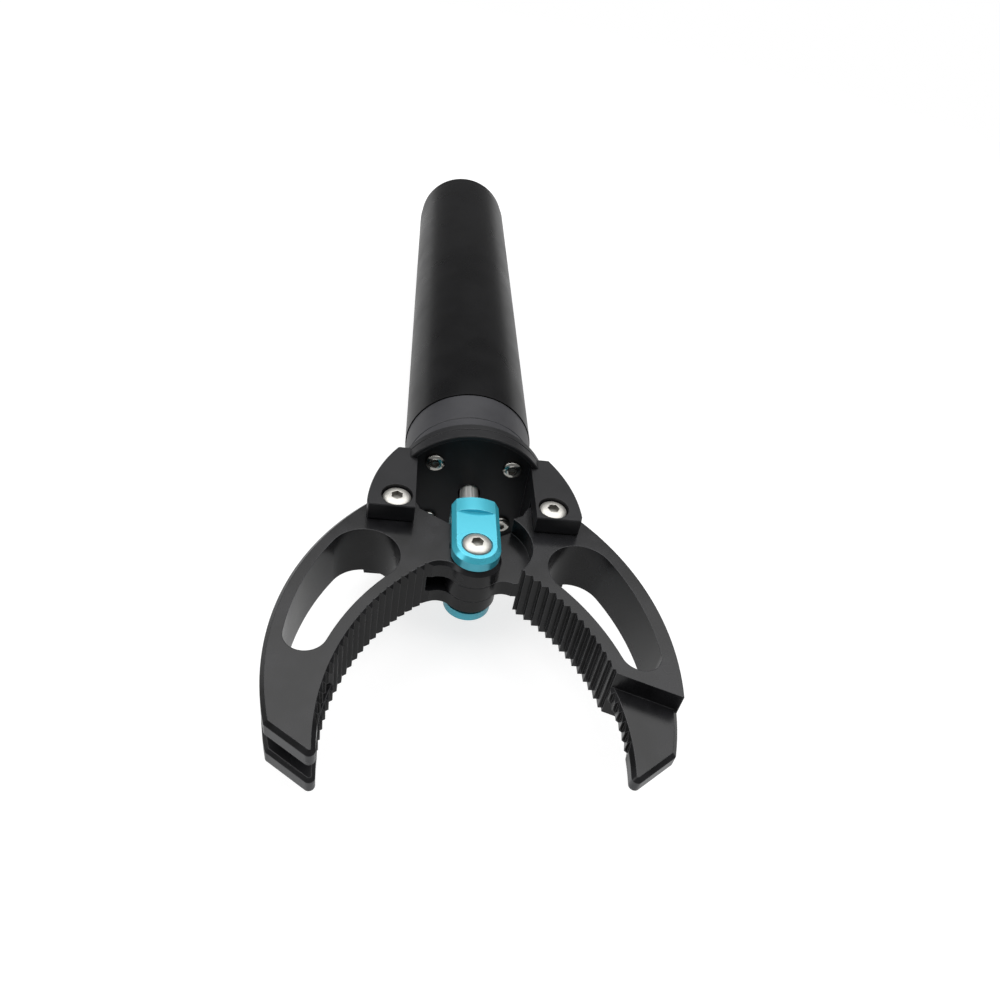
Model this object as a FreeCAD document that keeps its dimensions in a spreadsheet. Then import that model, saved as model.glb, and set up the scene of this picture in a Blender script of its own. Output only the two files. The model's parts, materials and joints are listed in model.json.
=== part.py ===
"""Two-jaw underwater claw on a sealed actuator tube, as a parametric document.

The tube axis is Y and the jaws point towards -Y. Z is up and is the direction of the jaw pivots.
The origin is on the tube axis, at the middle of the bare tube that a clamp holds.
"""

import FreeCAD, Part
import math
import os
import Sketcher
from FreeCAD import Placement, Rotation, Vector

# Driving dimensions, in millimetres and degrees: alias, value, what it is
DIMENSIONS = [
    ("tube_length", 180.0, "bare body tube, front to rear"),
    ("tube_rad", 20.0, "outside of the body tube"),
    ("tube_wall", 3.0, "wall of the body tube"),
    ("cap_flange", 19.5, "front cap outside the tube"),
    ("cap_rad", 19.7, "outside of the front cap, a little smaller than the tube"),
    ("cap_plug", 14.0, "plug of both caps inside the tube"),
    ("cap_groove", 7.3, "fine groove on the front cap, from its front face"),
    ("rear_flange", 8.0, "rear cap outside the tube"),
    ("rear_flange_rad", 19.5, "rear cap, inside the tube's size so that a clamp slides off"),
    ("slip", 0.05, "radial play of seated and running round pieces"),
    ("edge_break", 0.5, "small chamfer on turned edges"),
    ("rim_rad", 22.9, "round base of the jaw bracket"),
    ("rim_thick", 3.9, "plate of that base, behind the screw heads"),
    ("rim_lip", 2.35, "raised rim in front of that plate"),
    ("rim_wall", 1.2, "wall of the raised rim"),
    ("rim_seam", 2.75, "fine seam round the base, from its rear face"),
    ("arm_inner", 16.5, "inner wall of each bracket arm, from the middle plane"),
    ("arm_rear", 1.8, "rear edge of the arms, from the base's rear face"),
    ("arm_rear_out", 22.3, "outer rear corner of each arm, from the middle plane"),
    ("arm_front", 27.3, "front edge of the arms, from the base's rear face"),
    ("arm_front_out", 29.3, "outer front corner of each arm, from the middle plane"),
    ("arm_arc", 46.0, "radius of the convex outer side of an arm"),
    ("arm_nose", 2.0, "length of the corner chamfer at an arm's front"),
    ("arm_bevel", 0.3, "bevel on the outer and front edges of an arm"),
    ("arm_half", 13.3, "top of the arms above the tube axis"),
    ("gap_rear", 14.5, "rear wall of the gap that takes the jaw, from the base's rear face"),
    ("gap_half", 8.2, "inner face of a lug or clevis arm above the tube axis"),
    ("plate_screw_x", 11.3, "bracket screw, sideways"),
    ("plate_screw_z", 11.0, "bracket screw, upwards"),
    ("pivot_half", 21.5, "jaw pivot from the middle plane"),
    ("pivot_reach", 22.65, "jaw pivot from the base's rear face"),
    ("pivot_bush_rad", 3.0, "outside of the pivot bushing"),
    ("jaw_half", 7.7, "half of the jaw's thickness"),
    ("tongue_half", 2.45, "half of the right jaw's middle layer"),
    ("fork_half", 2.7, "half of the left jaw's slot"),
    ("outer_arc", 72.2, "outer edge of a jaw"),
    ("outer_dx", 45.0, "centre of that arc from the pivot, towards the other jaw"),
    ("outer_dy", 46.3, "centre of that arc from the pivot, towards the tip"),
    ("crest_arc", 59.3, "toothed inner edge of a jaw, at the crests"),
    ("crest_dx", 46.5, "centre of that arc from the pivot, towards the other jaw"),
    ("crest_dy", 66.65, "centre of that arc from the pivot, towards the tip"),
    ("tab_rad", 7.2, "round end of a jaw's tab, about the clevis pin"),
    ("neck_rad", 5.0, "concave neck between the tab and the crests"),
    ("rear_at_pivot", 5.6, "rear edge of the tab from the pivot"),
    ("relief_dx", 2.2, "centre of the round relief for the other jaw's tab, from the middle plane"),
    ("relief_dy", 32.7, "centre of that relief from the base's rear face"),
    ("relief_rad", 13.7, "radius of that relief"),
    ("tip_out_dx", 22.9, "outer end of the slanted tip from the pivot, sideways"),
    ("tip_out_dy", 69.1, "outer end of the slanted tip from the pivot, towards the tip"),
    ("tip_slant", 35.4, "angle of the slanted tip"),
    ("tip_round", 1.3, "rounding of the inner tip"),
    ("tip_shoulder", 1.2, "rounding of the outer end of the slant"),
    ("tip_bevel", 1.0, "bevel on the tip's upper and lower edges"),
    ("prong_bevel", 0.8, "bevel on the edges of the left tip's slot"),
    ("step_dx", 10.7, "inner end of the tongue's step from the pivot, sideways"),
    ("step_dy", 50.65, "inner end of the tongue's step from the pivot, towards the tip"),
    ("step_slant", 21.0, "angle of that step"),
    ("window_outer", 3.75, "wall between the window and the outer edge"),
    ("window_inner", 4.0, "wall between the window and the crests"),
    ("window_front", 5.15, "round front end of the window"),
    ("window_rear", 9.15, "round rear end of the window"),
    ("tooth_count", 21.0, "stairs on each jaw"),
    ("tooth_pitch", 2.58, "angle from crest to crest about the crest arc's centre"),
    ("tooth_last", -1.5, "angle of the end of the stairs, near the tip"),
    ("tooth_tread", 0.85, "shortest tread of the stairs"),
    ("pin_reach", 37.95, "clevis pin from the base's rear face, jaws open"),
    ("pin_rad", 2.5, "outside of the clevis sleeve"),
    ("pin_play", 0.3, "play of that sleeve in the slots of the jaws"),
    ("close_angle", 30.0, "swing of each jaw from open to closed"),
    ("clevis_width", 13.0, "across the side flats of the clevis"),
    ("clevis_round", 13.03, "radius of the bar that the clevis is turned from"),
    ("clevis_flat", 11.9, "top flat of the clevis above the tube axis"),
    ("clevis_rear", 20.8, "rear face of the clevis from the base's rear face"),
    ("clevis_band", 5.0, "length of its round rear band"),
    ("clevis_web", 3.4, "thickness of the wall that the rod screws into"),
    ("clevis_bevel", 1.2, "bevel round the top and bottom flats"),
    ("rod_rad", 2.75, "push rod"),
    ("rod_stub", 2.0, "reduced ends of the push rod"),
    ("big_head", 3.85, "button head of the pivot and clevis screws"),
    ("big_head_high", 2.2, "height of that head"),
    ("big_shank", 2.0, "shank of those screws"),
    ("big_socket", 1.44, "hexagon socket of those screws, corner radius"),
    ("lug_seat", 4.25, "sunk seat of the head in a lug"),
    ("lug_sink", 2.4, "depth of that seat"),
    ("clevis_seat", 4.15, "sunk seat of the head in the clevis"),
    ("clevis_sink", 1.35, "depth of that seat"),
    ("small_head", 2.85, "button head of the bracket screws"),
    ("small_head_high", 1.65, "height of that head"),
    ("small_shank", 1.5, "shank of those screws"),
    ("small_socket", 1.15, "hexagon socket of those screws, corner radius"),
    ("small_length", 12.0, "length of those screws under the head"),
    ("ring_thick", 1.5, "section of the cap O-rings"),
    ("ring_groove", 2.4, "width of the O-ring grooves"),
    ("wiper_rad", 5.5, "outside of the rod wiper"),
    ("wiper_long", 3.0, "length of the rod wiper"),
    ("seal_rad", 5.0, "outside of the rod seal"),
    ("seal_long", 5.0, "length of the rod seal"),
    ("bush_rad", 4.5, "outside of the rod bushing"),
    ("bush_long", 16.0, "length of the rod bushing"),
    ("guide_rad", 9.5, "bore of the nut guide"),
    ("guide_long", 50.0, "length of the nut guide"),
    ("key_width", 4.0, "key of the nut carrier"),
    ("key_rad", 12.0, "top of that key from the axis"),
    ("carrier_gap", 2.0, "nut carrier from the front cap, jaws open"),
    ("carrier_wall", 6.0, "front wall of the nut carrier"),
    ("carrier_hollow", 15.0, "hollow that takes the end of the lead screw"),
    ("carrier_play", 0.3, "play of the carrier in its guide"),
    ("nut_long", 10.0, "lead nut"),
    ("nut_rad", 6.5, "outside of the lead nut"),
    ("screw_rad", 2.0, "lead screw"),
    ("screw_spare", 0.3, "end of the lead screw past the nut, jaws open"),
    ("journal_rad", 2.5, "journal of the lead screw in its bearing"),
    ("bearing_rad", 6.5, "outside of the thrust bearing"),
    ("bearing_long", 6.0, "length of the thrust bearing"),
    ("mount_long", 28.0, "motor mount"),
    ("mount_plate", 4.0, "plate of the mount that carries the gearbox"),
    ("mount_bore", 8.5, "room for the coupling in the mount"),
    ("coupling_rad", 3.8, "shaft coupling"),
    ("coupling_long", 13.0, "length of the shaft coupling"),
    ("drive_rad", 1.5, "gearbox shaft and the end of the lead screw"),
    ("gearbox_rad", 12.5, "gearbox"),
    ("gearbox_long", 24.0, "length of the gearbox"),
    ("motor_rad", 12.0, "motor can"),
    ("motor_long", 32.0, "length of the motor can"),
    ("bell_rad", 10.5, "motor end bell"),
    ("bell_long", 3.0, "length of the motor end bell"),
    ("mount_screw_ring", 6.3, "gearbox screws from the axis"),
    ("mount_screw_rad", 1.0, "shank of the gearbox screws"),
    ("mount_screw_head", 1.7, "button head of the gearbox screws"),
    ("mount_screw_high", 1.4, "height of that head"),
    ("mount_screw_socket", 0.7, "hexagon socket of those screws, corner radius"),
    ("board_rad", 15.5, "round control board"),
    ("board_thick", 1.6, "thickness of the board"),
    ("standoff_long", 8.4, "board from the rear cap"),
    ("standoff_ring", 12.5, "standoffs from the axis"),
    ("standoff_rad", 2.0, "standoff"),
    ("gland_stem", 5.0, "threaded stem of the cable gland"),
    ("gland_hex", 8.5, "hexagon of the gland, corner radius"),
    ("gland_hex_long", 8.0, "length of that hexagon"),
    ("gland_nose", 6.0, "nose of the gland"),
    ("gland_nose_long", 12.0, "length of that nose"),
    ("gland_bore", 3.5, "cable bore of the gland"),
    ("gland_ring", 6.8, "middle of the gland O-ring"),
    ("gland_ring_thick", 1.8, "section of the gland O-ring"),
    ("gland_nut_long", 4.0, "nut inside the rear cap"),
]


class Cell:
    """A size that knows its value and the sheet expression that it comes from."""

    def __init__(self, value, text):
        self.value = float(value)
        self.text = text

    def __add__(self, other):
        other = as_cell(other)
        return Cell(self.value + other.value, f"({self.text} + {other.text})")

    def __sub__(self, other):
        other = as_cell(other)
        return Cell(self.value - other.value, f"({self.text} - {other.text})")

    def __mul__(self, other):
        other = as_cell(other)
        return Cell(self.value * other.value, f"({self.text} * {other.text})")

    def __truediv__(self, other):
        other = as_cell(other)
        return Cell(self.value / other.value, f"({self.text} / {other.text})")

    def __neg__(self):
        return Cell(-self.value, f"(-1 * {self.text})")

    def __rmul__(self, other):
        return as_cell(other) * self

    def __radd__(self, other):
        return as_cell(other) + self

    def __rsub__(self, other):
        return as_cell(other) - self


def as_cell(size):
    """Return a plain number as a cell, and a cell as it is."""
    return size if isinstance(size, Cell) else Cell(size, repr(float(size)))


def value(size):
    """Return the number behind a cell or a plain number."""
    return as_cell(size).value


class Sheet:
    """The spreadsheet of driving dimensions, read as attributes."""

    def __init__(self, document, rows):
        self.table = document.addObject("Spreadsheet::Sheet", "dims")
        for row, (alias, size, meaning) in enumerate(rows, start=1):
            self.table.set(f"A{row}", meaning)
            self.table.set(f"B{row}", repr(size))
            self.table.setAlias(f"B{row}", alias)
        document.recompute()
        for alias, _, _ in rows:
            setattr(self, alias, Cell(self.table.get(alias), f"dims.{alias}"))


doc = FreeCAD.newDocument("claw")
d = Sheet(doc, DIMENSIONS)
nodes = {}

UP = Vector(0, 0, 1)
AXIS_TO_Z = Rotation(Vector(1, 0, 0), 90)
Z_TO_AXIS = Rotation(Vector(1, 0, 0), -90)
SIDES = {"left": -1, "right": 1}
BIG = 60.0

# Stations along the tube axis
front = -1 * (d.tube_length / 2 + d.cap_flange)
tube_front = -1 * (d.tube_length / 2)
tube_rear = d.tube_length / 2
plug_rear = tube_front + d.cap_plug
guide_rear = plug_rear + d.guide_long
mount_rear = guide_rear + d.mount_long
gearbox_rear = mount_rear + d.gearbox_long
motor_rear = gearbox_rear + d.motor_long
rear_plug_front = tube_rear - d.cap_plug
flange_rear = tube_rear + d.rear_flange
bore_rad = d.tube_rad - d.tube_wall
plug_rad = bore_rad - d.slip
carrier_front = plug_rear + d.carrier_gap
nut_front = carrier_front + d.carrier_wall + d.carrier_hollow
nut_rear = nut_front + d.nut_long
pivot_y = front - d.pivot_reach
pin_y = front - d.pin_reach
clevis_back = front - d.clevis_rear


def bind(item, name, size):
    """Tie a property of an object to the sheet."""
    item.setExpression(name, as_cell(size).text)


def node(item, label):
    """Name a finished sub-part. Its label is its file's name."""
    item.Label = label
    nodes[label] = item
    return item


def place(item, x=0.0, y=0.0, z=0.0, turn=None):
    """Put an object at a place that is tied to the sheet, turned first if asked."""
    if turn is not None:
        item.Placement = Placement(Vector(0, 0, 0), turn)
    for name, size in (("x", x), ("y", y), ("z", z)):
        if isinstance(size, Cell):
            bind(item, f"Placement.Base.{name}", size)
        elif size:
            bind(item, f"Placement.Base.{name}", as_cell(size))
    return item


def origin_plane(body, role):
    """Return one of a body's own origin planes."""
    return next(item for item in body.Origin.OriginFeatures if item.Role == role)


def point(place_xy):
    return Vector(value(place_xy[0]), value(place_xy[1]), 0)


def heading(centre, target):
    """Angle of a point seen from a centre, in radians."""
    step = point(target) - point(centre)
    return math.atan2(step.y, step.x)


def sketch_on(body, name, role="XY_Plane", lift=None):
    """Attach an empty sketch to an origin plane, lifted along its normal if asked."""
    sketch = body.newObject("Sketcher::SketchObject", name)
    sketch.AttachmentSupport = [(origin_plane(body, role), "")]
    sketch.MapMode = "FlatFace"
    if lift is not None:
        bind(sketch, "AttachmentOffset.Base.z", lift)
    return sketch


def hold_point(sketch, geometry, end, spot):
    """Tie one point of a sketch to its two coordinates where they are cells."""
    for size, kind, axis in ((spot[0], "DistanceX", -2), (spot[1], "DistanceY", -1)):
        if not isinstance(size, Cell):
            continue
        if abs(size.value) < 1e-9:
            sketch.addConstraint(Sketcher.Constraint("PointOnObject", geometry, end, axis))
            continue
        index = sketch.addConstraint(Sketcher.Constraint(kind, -1, 1, geometry, end, size.value))
        sketch.setExpression(f"Constraints[{index}]", size.text)


def draw(sketch, outline):
    """Draw a closed outline of (corner, edge) pairs.

    An edge is None for a straight line, or (centre, radius, turn) for an arc to the next corner, with
    turn 1 for anticlockwise and -1 for clockwise. Corners and centres given as cells are tied to the sheet.
    """
    ends = []
    geometry = []
    for index, (start, edge) in enumerate(outline):
        stop = outline[(index + 1) % len(outline)][0]
        if edge is None:
            shape = Part.LineSegment(point(start), point(stop))
            ends.append((1, 2))
        else:
            centre, radius, turn = edge
            first, last = (start, stop) if turn > 0 else (stop, start)
            low = heading(centre, first)
            high = heading(centre, last)
            circle = Part.Circle(point(centre), UP, value(radius))
            shape = Part.ArcOfCircle(circle, low, high if high > low else high + 2 * math.pi)
            ends.append((1, 2) if turn > 0 else (2, 1))
        geometry.append(sketch.addGeometry(shape, False))
    for index, item in enumerate(geometry):
        following = (index + 1) % len(geometry)
        sketch.addConstraint(
            Sketcher.Constraint("Coincident", item, ends[index][1], geometry[following], ends[following][0])
        )
    for index, (start, edge) in enumerate(outline):
        hold_point(sketch, geometry[index], ends[index][0], start)
        if edge is not None and isinstance(edge[1], Cell):
            hold_point(sketch, geometry[index], 3, edge[0])
            row = sketch.addConstraint(Sketcher.Constraint("Radius", geometry[index], edge[1].value))
            sketch.setExpression(f"Constraints[{row}]", edge[1].text)


def draw_circle(sketch, centre, radius):
    """Draw one circle tied to the sheet."""
    circle = sketch.addGeometry(Part.Circle(point(centre), UP, value(radius)), False)
    hold_point(sketch, circle, 3, centre)
    row = sketch.addConstraint(Sketcher.Constraint("Radius", circle, value(radius)))
    sketch.setExpression(f"Constraints[{row}]", as_cell(radius).text)


def polygon(*corners):
    """An outline of straight edges."""
    return [(corner, None) for corner in corners]


def rectangle(low, high):
    """An outline of four straight edges between two corners."""
    return polygon(low, (high[0], low[1]), high, (low[0], high[1]))


def pad(body, name, sketch, length):
    """Raise a sketch equally to both sides of its plane."""
    feature = body.newObject("PartDesign::Pad", name)
    feature.Profile = sketch
    feature.SideType = "Symmetric"
    bind(feature, "Length", length)
    return feature


def pocket(body, name, sketch, length=None, both=False, reverse=False):
    """Cut a sketch through the body: to a length, or through all when no length is given."""
    before = cut_volume(body)
    feature = body.newObject("PartDesign::Pocket", name)
    feature.Profile = sketch
    feature.SideType = "Symmetric" if both else "One side"
    feature.Reversed = reverse
    if length is None:
        feature.Type = "ThroughAll"
    else:
        bind(feature, "Length", length)
    if cut_volume(body) >= before:
        raise RuntimeError(f"{name} cuts nothing from {body.Name}")
    return feature


def cut_volume(body):
    """Recompute and return the volume of a body."""
    doc.recompute()
    return body.Shape.Volume


def turn_into(body, name, profile):
    """Add a solid of revolution about the tube axis to a body, from (radius, station) corners."""
    sketch = sketch_on(body, f"{name}_profile")
    draw(sketch, polygon(*[(as_cell(radius), as_cell(station)) for radius, station in profile]))
    revolution = body.newObject("PartDesign::Revolution", f"{name}_turning")
    revolution.Profile = sketch
    revolution.ReferenceAxis = (sketch, ["V_Axis"])
    revolution.Angle = 360
    doc.recompute()
    return revolution


def turned(name, profile):
    """A body that is one solid of revolution about the tube axis."""
    body = doc.addObject("PartDesign::Body", name)
    turn_into(body, name, profile)
    return body


def ring(name, inner, outer, low, high):
    """A plain turned sleeve."""
    return turned(name, [(inner, low), (outer, low), (outer, high), (inner, high)])


def disc(name, outer, low, high):
    """A plain turned disc or rod."""
    return turned(name, [(0, low), (outer, low), (outer, high), (0, high)])


def o_ring(name, middle, section, station):
    """A rubber ring round the tube axis, with an eight-sided section."""
    corners = []
    for index in range(8):
        angle = math.radians(22.5 + 45 * index)
        corners.append((middle + section / 2 * math.cos(angle), station + section / 2 * math.sin(angle)))
    return turned(name, corners)


def cut(name, base, tool):
    """Take a tool out of a base."""
    result = doc.addObject("Part::Cut", name)
    result.Base = base
    result.Tool = tool
    return result


def group(name, members):
    """Separate like solids that share one node."""
    compound = doc.addObject("Part::Compound", name)
    compound.Links = members
    return compound


def edges_where(shape, test):
    """Names of the edges whose middle passes a test."""
    names = []
    for index, edge in enumerate(shape.Edges, start=1):
        middle = edge.valueAt((edge.FirstParameter + edge.LastParameter) / 2)
        if test(edge, middle):
            names.append(f"Edge{index}")
    return names


def dress(body, kind, name, size, test):
    """Round or bevel the edges of a body that pass a test."""
    doc.recompute()
    base = body.Tip
    names = edges_where(base.Shape, test)
    if not names:
        raise RuntimeError(f"{name} finds no edge")
    feature = body.newObject(f"PartDesign::{kind}", name)
    feature.Base = (base, names)
    bind(feature, "Radius" if kind == "Fillet" else "Size", size)
    doc.recompute()
    return feature


def upright(edge):
    """Whether an edge is straight and parallel to Z."""
    ends = edge.Vertexes
    if len(ends) != 2:
        return False
    step = ends[1].Point - ends[0].Point
    return abs(step.x) < 1e-6 and abs(step.y) < 1e-6


def button_screw(name, head, head_high, shank, length, socket):
    """A button-head screw about local Y: head up, its underside at the local origin."""
    crown = head * 0.62
    shoulder = head_high * 0.5
    body = turned(
        f"{name}_blank",
        [
            (0, -1 * length),
            (shank, -1 * length),
            (shank, 0),
            (head, 0),
            (head, shoulder),
            (head * 0.86, head_high * 0.82),
            (crown, head_high),
            (0, head_high),
        ],
    )
    key = doc.addObject("Part::Prism", f"{name}_socket")
    key.Polygon = 6
    bind(key, "Circumradius", socket)
    bind(key, "Height", head_high)
    place(key, y=head_high * 0.45, turn=Z_TO_AXIS)
    return cut(name, body, key)


def crossing(centre_a, radius_a, centre_b, radius_b, prefer):
    """Where two circles cross. prefer picks the crossing for which it is largest."""
    a = Vector(*centre_a, 0)
    b = Vector(*centre_b, 0)
    line = b - a
    span = line.Length
    along = (radius_a**2 - radius_b**2 + span**2) / (2 * span)
    across = math.sqrt(radius_a**2 - along**2)
    unit = line / span
    foot = a + unit * along
    side = Vector(-unit.y, unit.x, 0) * across
    return max((foot + side, foot - side), key=prefer)


def build_tube_and_caps():
    """Pressure tube with its two sealed end caps."""
    node(ring("tube", bore_rad, d.tube_rad, tube_front, tube_rear), "body_tube")

    wiper_end = front + d.wiper_long
    seal_end = wiper_end + d.seal_long
    bush_end = seal_end + d.bush_long
    rod_room = d.rod_rad + 0.4
    groove_rad = plug_rad - d.ring_thick - d.slip
    groove_at = front + d.cap_groove
    fine = 0.35
    first_ring = tube_front + d.cap_plug * 0.25
    second_ring = tube_front + d.cap_plug * 0.7
    profile = [
        (d.wiper_rad, front),
        (d.cap_rad - d.edge_break, front),
        (d.cap_rad, front + d.edge_break),
        (d.cap_rad, groove_at - fine),
        (d.cap_rad - fine, groove_at),
        (d.cap_rad, groove_at + fine),
        (d.cap_rad, tube_front - fine),
        (d.cap_rad - fine, tube_front),
        (plug_rad, tube_front),
    ]
    for station in (first_ring, second_ring):
        low = station - d.ring_groove / 2
        high = station + d.ring_groove / 2
        profile += [(plug_rad, low), (groove_rad, low), (groove_rad, high), (plug_rad, high)]
    profile += [
        (plug_rad, plug_rear),
        (rod_room, plug_rear),
        (rod_room, bush_end),
        (d.bush_rad, bush_end),
        (d.bush_rad, seal_end),
        (d.seal_rad, seal_end),
        (d.seal_rad, wiper_end),
        (d.wiper_rad, wiper_end),
    ]
    cap = turned("front_cap", profile)
    holes = sketch_on(cap, "tapped_holes", "XZ_Plane", lift=-1 * front)
    for across in (-1, 1):
        for up in (-1, 1):
            draw_circle(holes, (across * d.plate_screw_x, up * d.plate_screw_z), d.small_shank + d.slip)
    pocket(cap, "tapping", holes, length=d.small_length - d.rim_thick + 1)
    node(cap, "front_end_cap")

    ring_middle = groove_rad + d.ring_thick / 2 + d.slip
    section = d.ring_thick
    rings = [
        o_ring("front_ring_a", ring_middle, section, first_ring),
        o_ring("front_ring_b", ring_middle, section, second_ring),
    ]
    node(group("front_rings", rings), "front_cap_o_rings")

    run = d.rod_rad + d.slip
    node(ring("wiper", run, d.wiper_rad - d.slip, front, wiper_end), "rod_wiper")
    node(ring("seal", run, d.seal_rad - d.slip, wiper_end, seal_end), "rod_seal")
    node(ring("bushing", run, d.bush_rad - d.slip, seal_end, bush_end), "rod_bushing")

    gland_seat = d.gland_ring - d.gland_ring_thick / 2 - d.slip
    gland_edge = d.gland_ring + d.gland_ring_thick / 2 + d.slip
    stem_room = d.gland_stem + d.slip
    seat_floor = flange_rear - d.gland_ring_thick - d.slip
    first_rear = tube_rear - d.cap_plug * 0.25
    second_rear = tube_rear - d.cap_plug * 0.7
    profile = [(stem_room, rear_plug_front), (plug_rad, rear_plug_front)]
    for station in (second_rear, first_rear):
        low = station - d.ring_groove / 2
        high = station + d.ring_groove / 2
        profile += [(plug_rad, low), (groove_rad, low), (groove_rad, high), (plug_rad, high)]
    profile += [
        (plug_rad, tube_rear),
        (d.rear_flange_rad, tube_rear),
        (d.rear_flange_rad, flange_rear - d.edge_break * 3),
        (d.rear_flange_rad - d.edge_break * 3, flange_rear),
        (gland_edge, flange_rear),
        (gland_edge, seat_floor),
        (gland_seat, seat_floor),
        (gland_seat, flange_rear),
        (stem_room, flange_rear),
    ]
    node(turned("rear_cap", profile), "rear_end_cap")
    rings = [
        o_ring("rear_ring_a", ring_middle, section, first_rear),
        o_ring("rear_ring_b", ring_middle, section, second_rear),
    ]
    node(group("rear_rings", rings), "rear_cap_o_rings")


def build_cable_gland():
    """Bare cable gland in the middle of the rear cap."""
    hex_rear = flange_rear + d.gland_hex_long
    nose_rear = hex_rear + d.gland_nose_long
    stem_front = rear_plug_front - d.gland_nut_long
    body = turned(
        "gland_turning",
        [
            (0, stem_front),
            (d.gland_stem, stem_front),
            (d.gland_stem, flange_rear),
            (d.gland_nose, flange_rear),
            (d.gland_nose, nose_rear - 1.5),
            (d.gland_nose - 1.5, nose_rear),
            (d.gland_bore, nose_rear),
            (d.gland_bore, flange_rear),
            (0, flange_rear),
        ],
    )
    hexagon = doc.addObject("Part::Prism", "gland_hexagon")
    hexagon.Polygon = 6
    bind(hexagon, "Circumradius", d.gland_hex)
    bind(hexagon, "Height", d.gland_hex_long)
    place(hexagon, y=flange_rear, turn=Z_TO_AXIS)
    bored = cut("gland_hexagon_bored", hexagon, disc("gland_room", d.gland_nose - 0.5, flange_rear, hex_rear))
    gland = doc.addObject("Part::Fuse", "gland")
    gland.Base = body
    gland.Tool = bored
    node(gland, "cable_gland")
    ring_station = flange_rear - d.gland_ring_thick / 2 - d.slip / 2
    node(o_ring("gland_seal", d.gland_ring, d.gland_ring_thick, ring_station), "gland_o_ring")
    nut = doc.addObject("Part::Prism", "gland_nut_blank")
    nut.Polygon = 6
    bind(nut, "Circumradius", d.gland_hex)
    bind(nut, "Height", d.gland_nut_long)
    place(nut, y=stem_front, turn=Z_TO_AXIS)
    hole = disc("gland_nut_hole", d.gland_stem + d.slip, stem_front, rear_plug_front)
    node(cut("gland_nut_bored", nut, hole), "gland_nut")


def build_bracket():
    """Jaw bracket: round base, two flared arms and their lugs, with its screws."""
    base_front = front - d.rim_thick
    lip_front = base_front - d.rim_lip
    seam = front - d.rim_seam
    fine = 0.25
    rod_room = d.rod_rad + 0.6
    bracket = turned(
        "bracket",
        [
            (rod_room, front),
            (d.rim_rad - d.edge_break, front),
            (d.rim_rad, front - d.edge_break),
            (d.rim_rad, seam + fine),
            (d.rim_rad - fine, seam),
            (d.rim_rad, seam - fine),
            (d.rim_rad, lip_front + fine),
            (d.rim_rad - fine, lip_front),
            (d.rim_rad - d.rim_wall, lip_front),
            (d.rim_rad - d.rim_wall, base_front),
            (rod_room, base_front),
        ],
    )
    arm_back = front - d.arm_rear
    arm_end = front - d.arm_front
    nose_back = arm_end + d.arm_nose
    for name, side in SIDES.items():
        rear_corner = (side * d.arm_rear_out, arm_back)
        front_corner = (side * d.arm_front_out, nose_back)
        centre = crossing(
            (value(rear_corner[0]), value(rear_corner[1])),
            value(d.arm_arc),
            (value(front_corner[0]), value(front_corner[1])),
            value(d.arm_arc),
            lambda spot: -side * spot.x,
        )
        arm = sketch_on(bracket, f"{name}_arm")
        draw(
            arm,
            [
                ((side * d.arm_inner, arm_end), None),
                ((side * d.arm_inner, arm_back), None),
                (rear_corner, ((centre.x, centre.y), value(d.arm_arc), -side)),
                (front_corner, None),
                ((side * (d.arm_front_out - 0.5), arm_end), None),
            ],
        )
        pad(bracket, f"{name}_arm_pad", arm, d.arm_half * 2)
    for name, side in SIDES.items():
        gap = sketch_on(bracket, f"{name}_gap")
        inner = side * (d.arm_inner - 2)
        outer = side * (d.arm_front_out + 4)
        draw(gap, rectangle((inner, arm_end - 4), (outer, front - d.gap_rear)))
        pocket(bracket, f"{name}_gap_cut", gap, length=d.gap_half * 2, both=True)
    for name, side in SIDES.items():
        spot = (side * d.pivot_half, pivot_y)
        hole = sketch_on(bracket, f"{name}_pivot_hole")
        draw_circle(hole, spot, d.big_shank + d.slip)
        pocket(bracket, f"{name}_pivot_drill", hole, both=True)
        seat = sketch_on(bracket, f"{name}_pivot_seat", lift=d.arm_half - d.lug_sink)
        draw_circle(seat, spot, d.lug_seat)
        pocket(bracket, f"{name}_pivot_sink", seat, reverse=True)
    holes = sketch_on(bracket, "screw_holes", "XZ_Plane")
    for across in (-1, 1):
        for up in (-1, 1):
            draw_circle(holes, (across * d.plate_screw_x, up * d.plate_screw_z), d.small_shank + d.slip)
    pocket(bracket, "screw_drill", holes, both=True)
    top = value(d.arm_half)
    dress(
        bracket,
        "Chamfer",
        "arm_edges",
        d.arm_bevel,
        lambda edge, middle: abs(abs(middle.z) - top) < 1e-4 and is_arm_rim(middle),
    )
    node(bracket, "jaw_bracket")

    screws = []
    for across in (-1, 1):
        for up in (-1, 1):
            screw = button_screw(
                f"bracket_screw_{len(screws) + 1}",
                d.small_head,
                d.small_head_high,
                d.small_shank,
                d.small_length,
                d.small_socket,
            )
            turn = Rotation(Vector(1, 0, 0), 180)
            place(screw, across * d.plate_screw_x, base_front, up * d.plate_screw_z, turn)
            screws.append(screw)
    node(group("bracket_screw_set", screws), "bracket_screws")


def is_arm_rim(middle):
    """Whether a place on an arm's top is on its outer or front edge, not on a wall or a screw's seat."""
    reach = math.hypot(abs(middle.x) - value(d.pivot_half), middle.y - value(pivot_y))
    lip_front = value(front - d.rim_thick - d.rim_lip)
    outside = abs(middle.x) > value(d.arm_inner) + 1 and middle.y < lip_front
    return outside and abs(reach - value(d.lug_seat)) > 0.01


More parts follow.
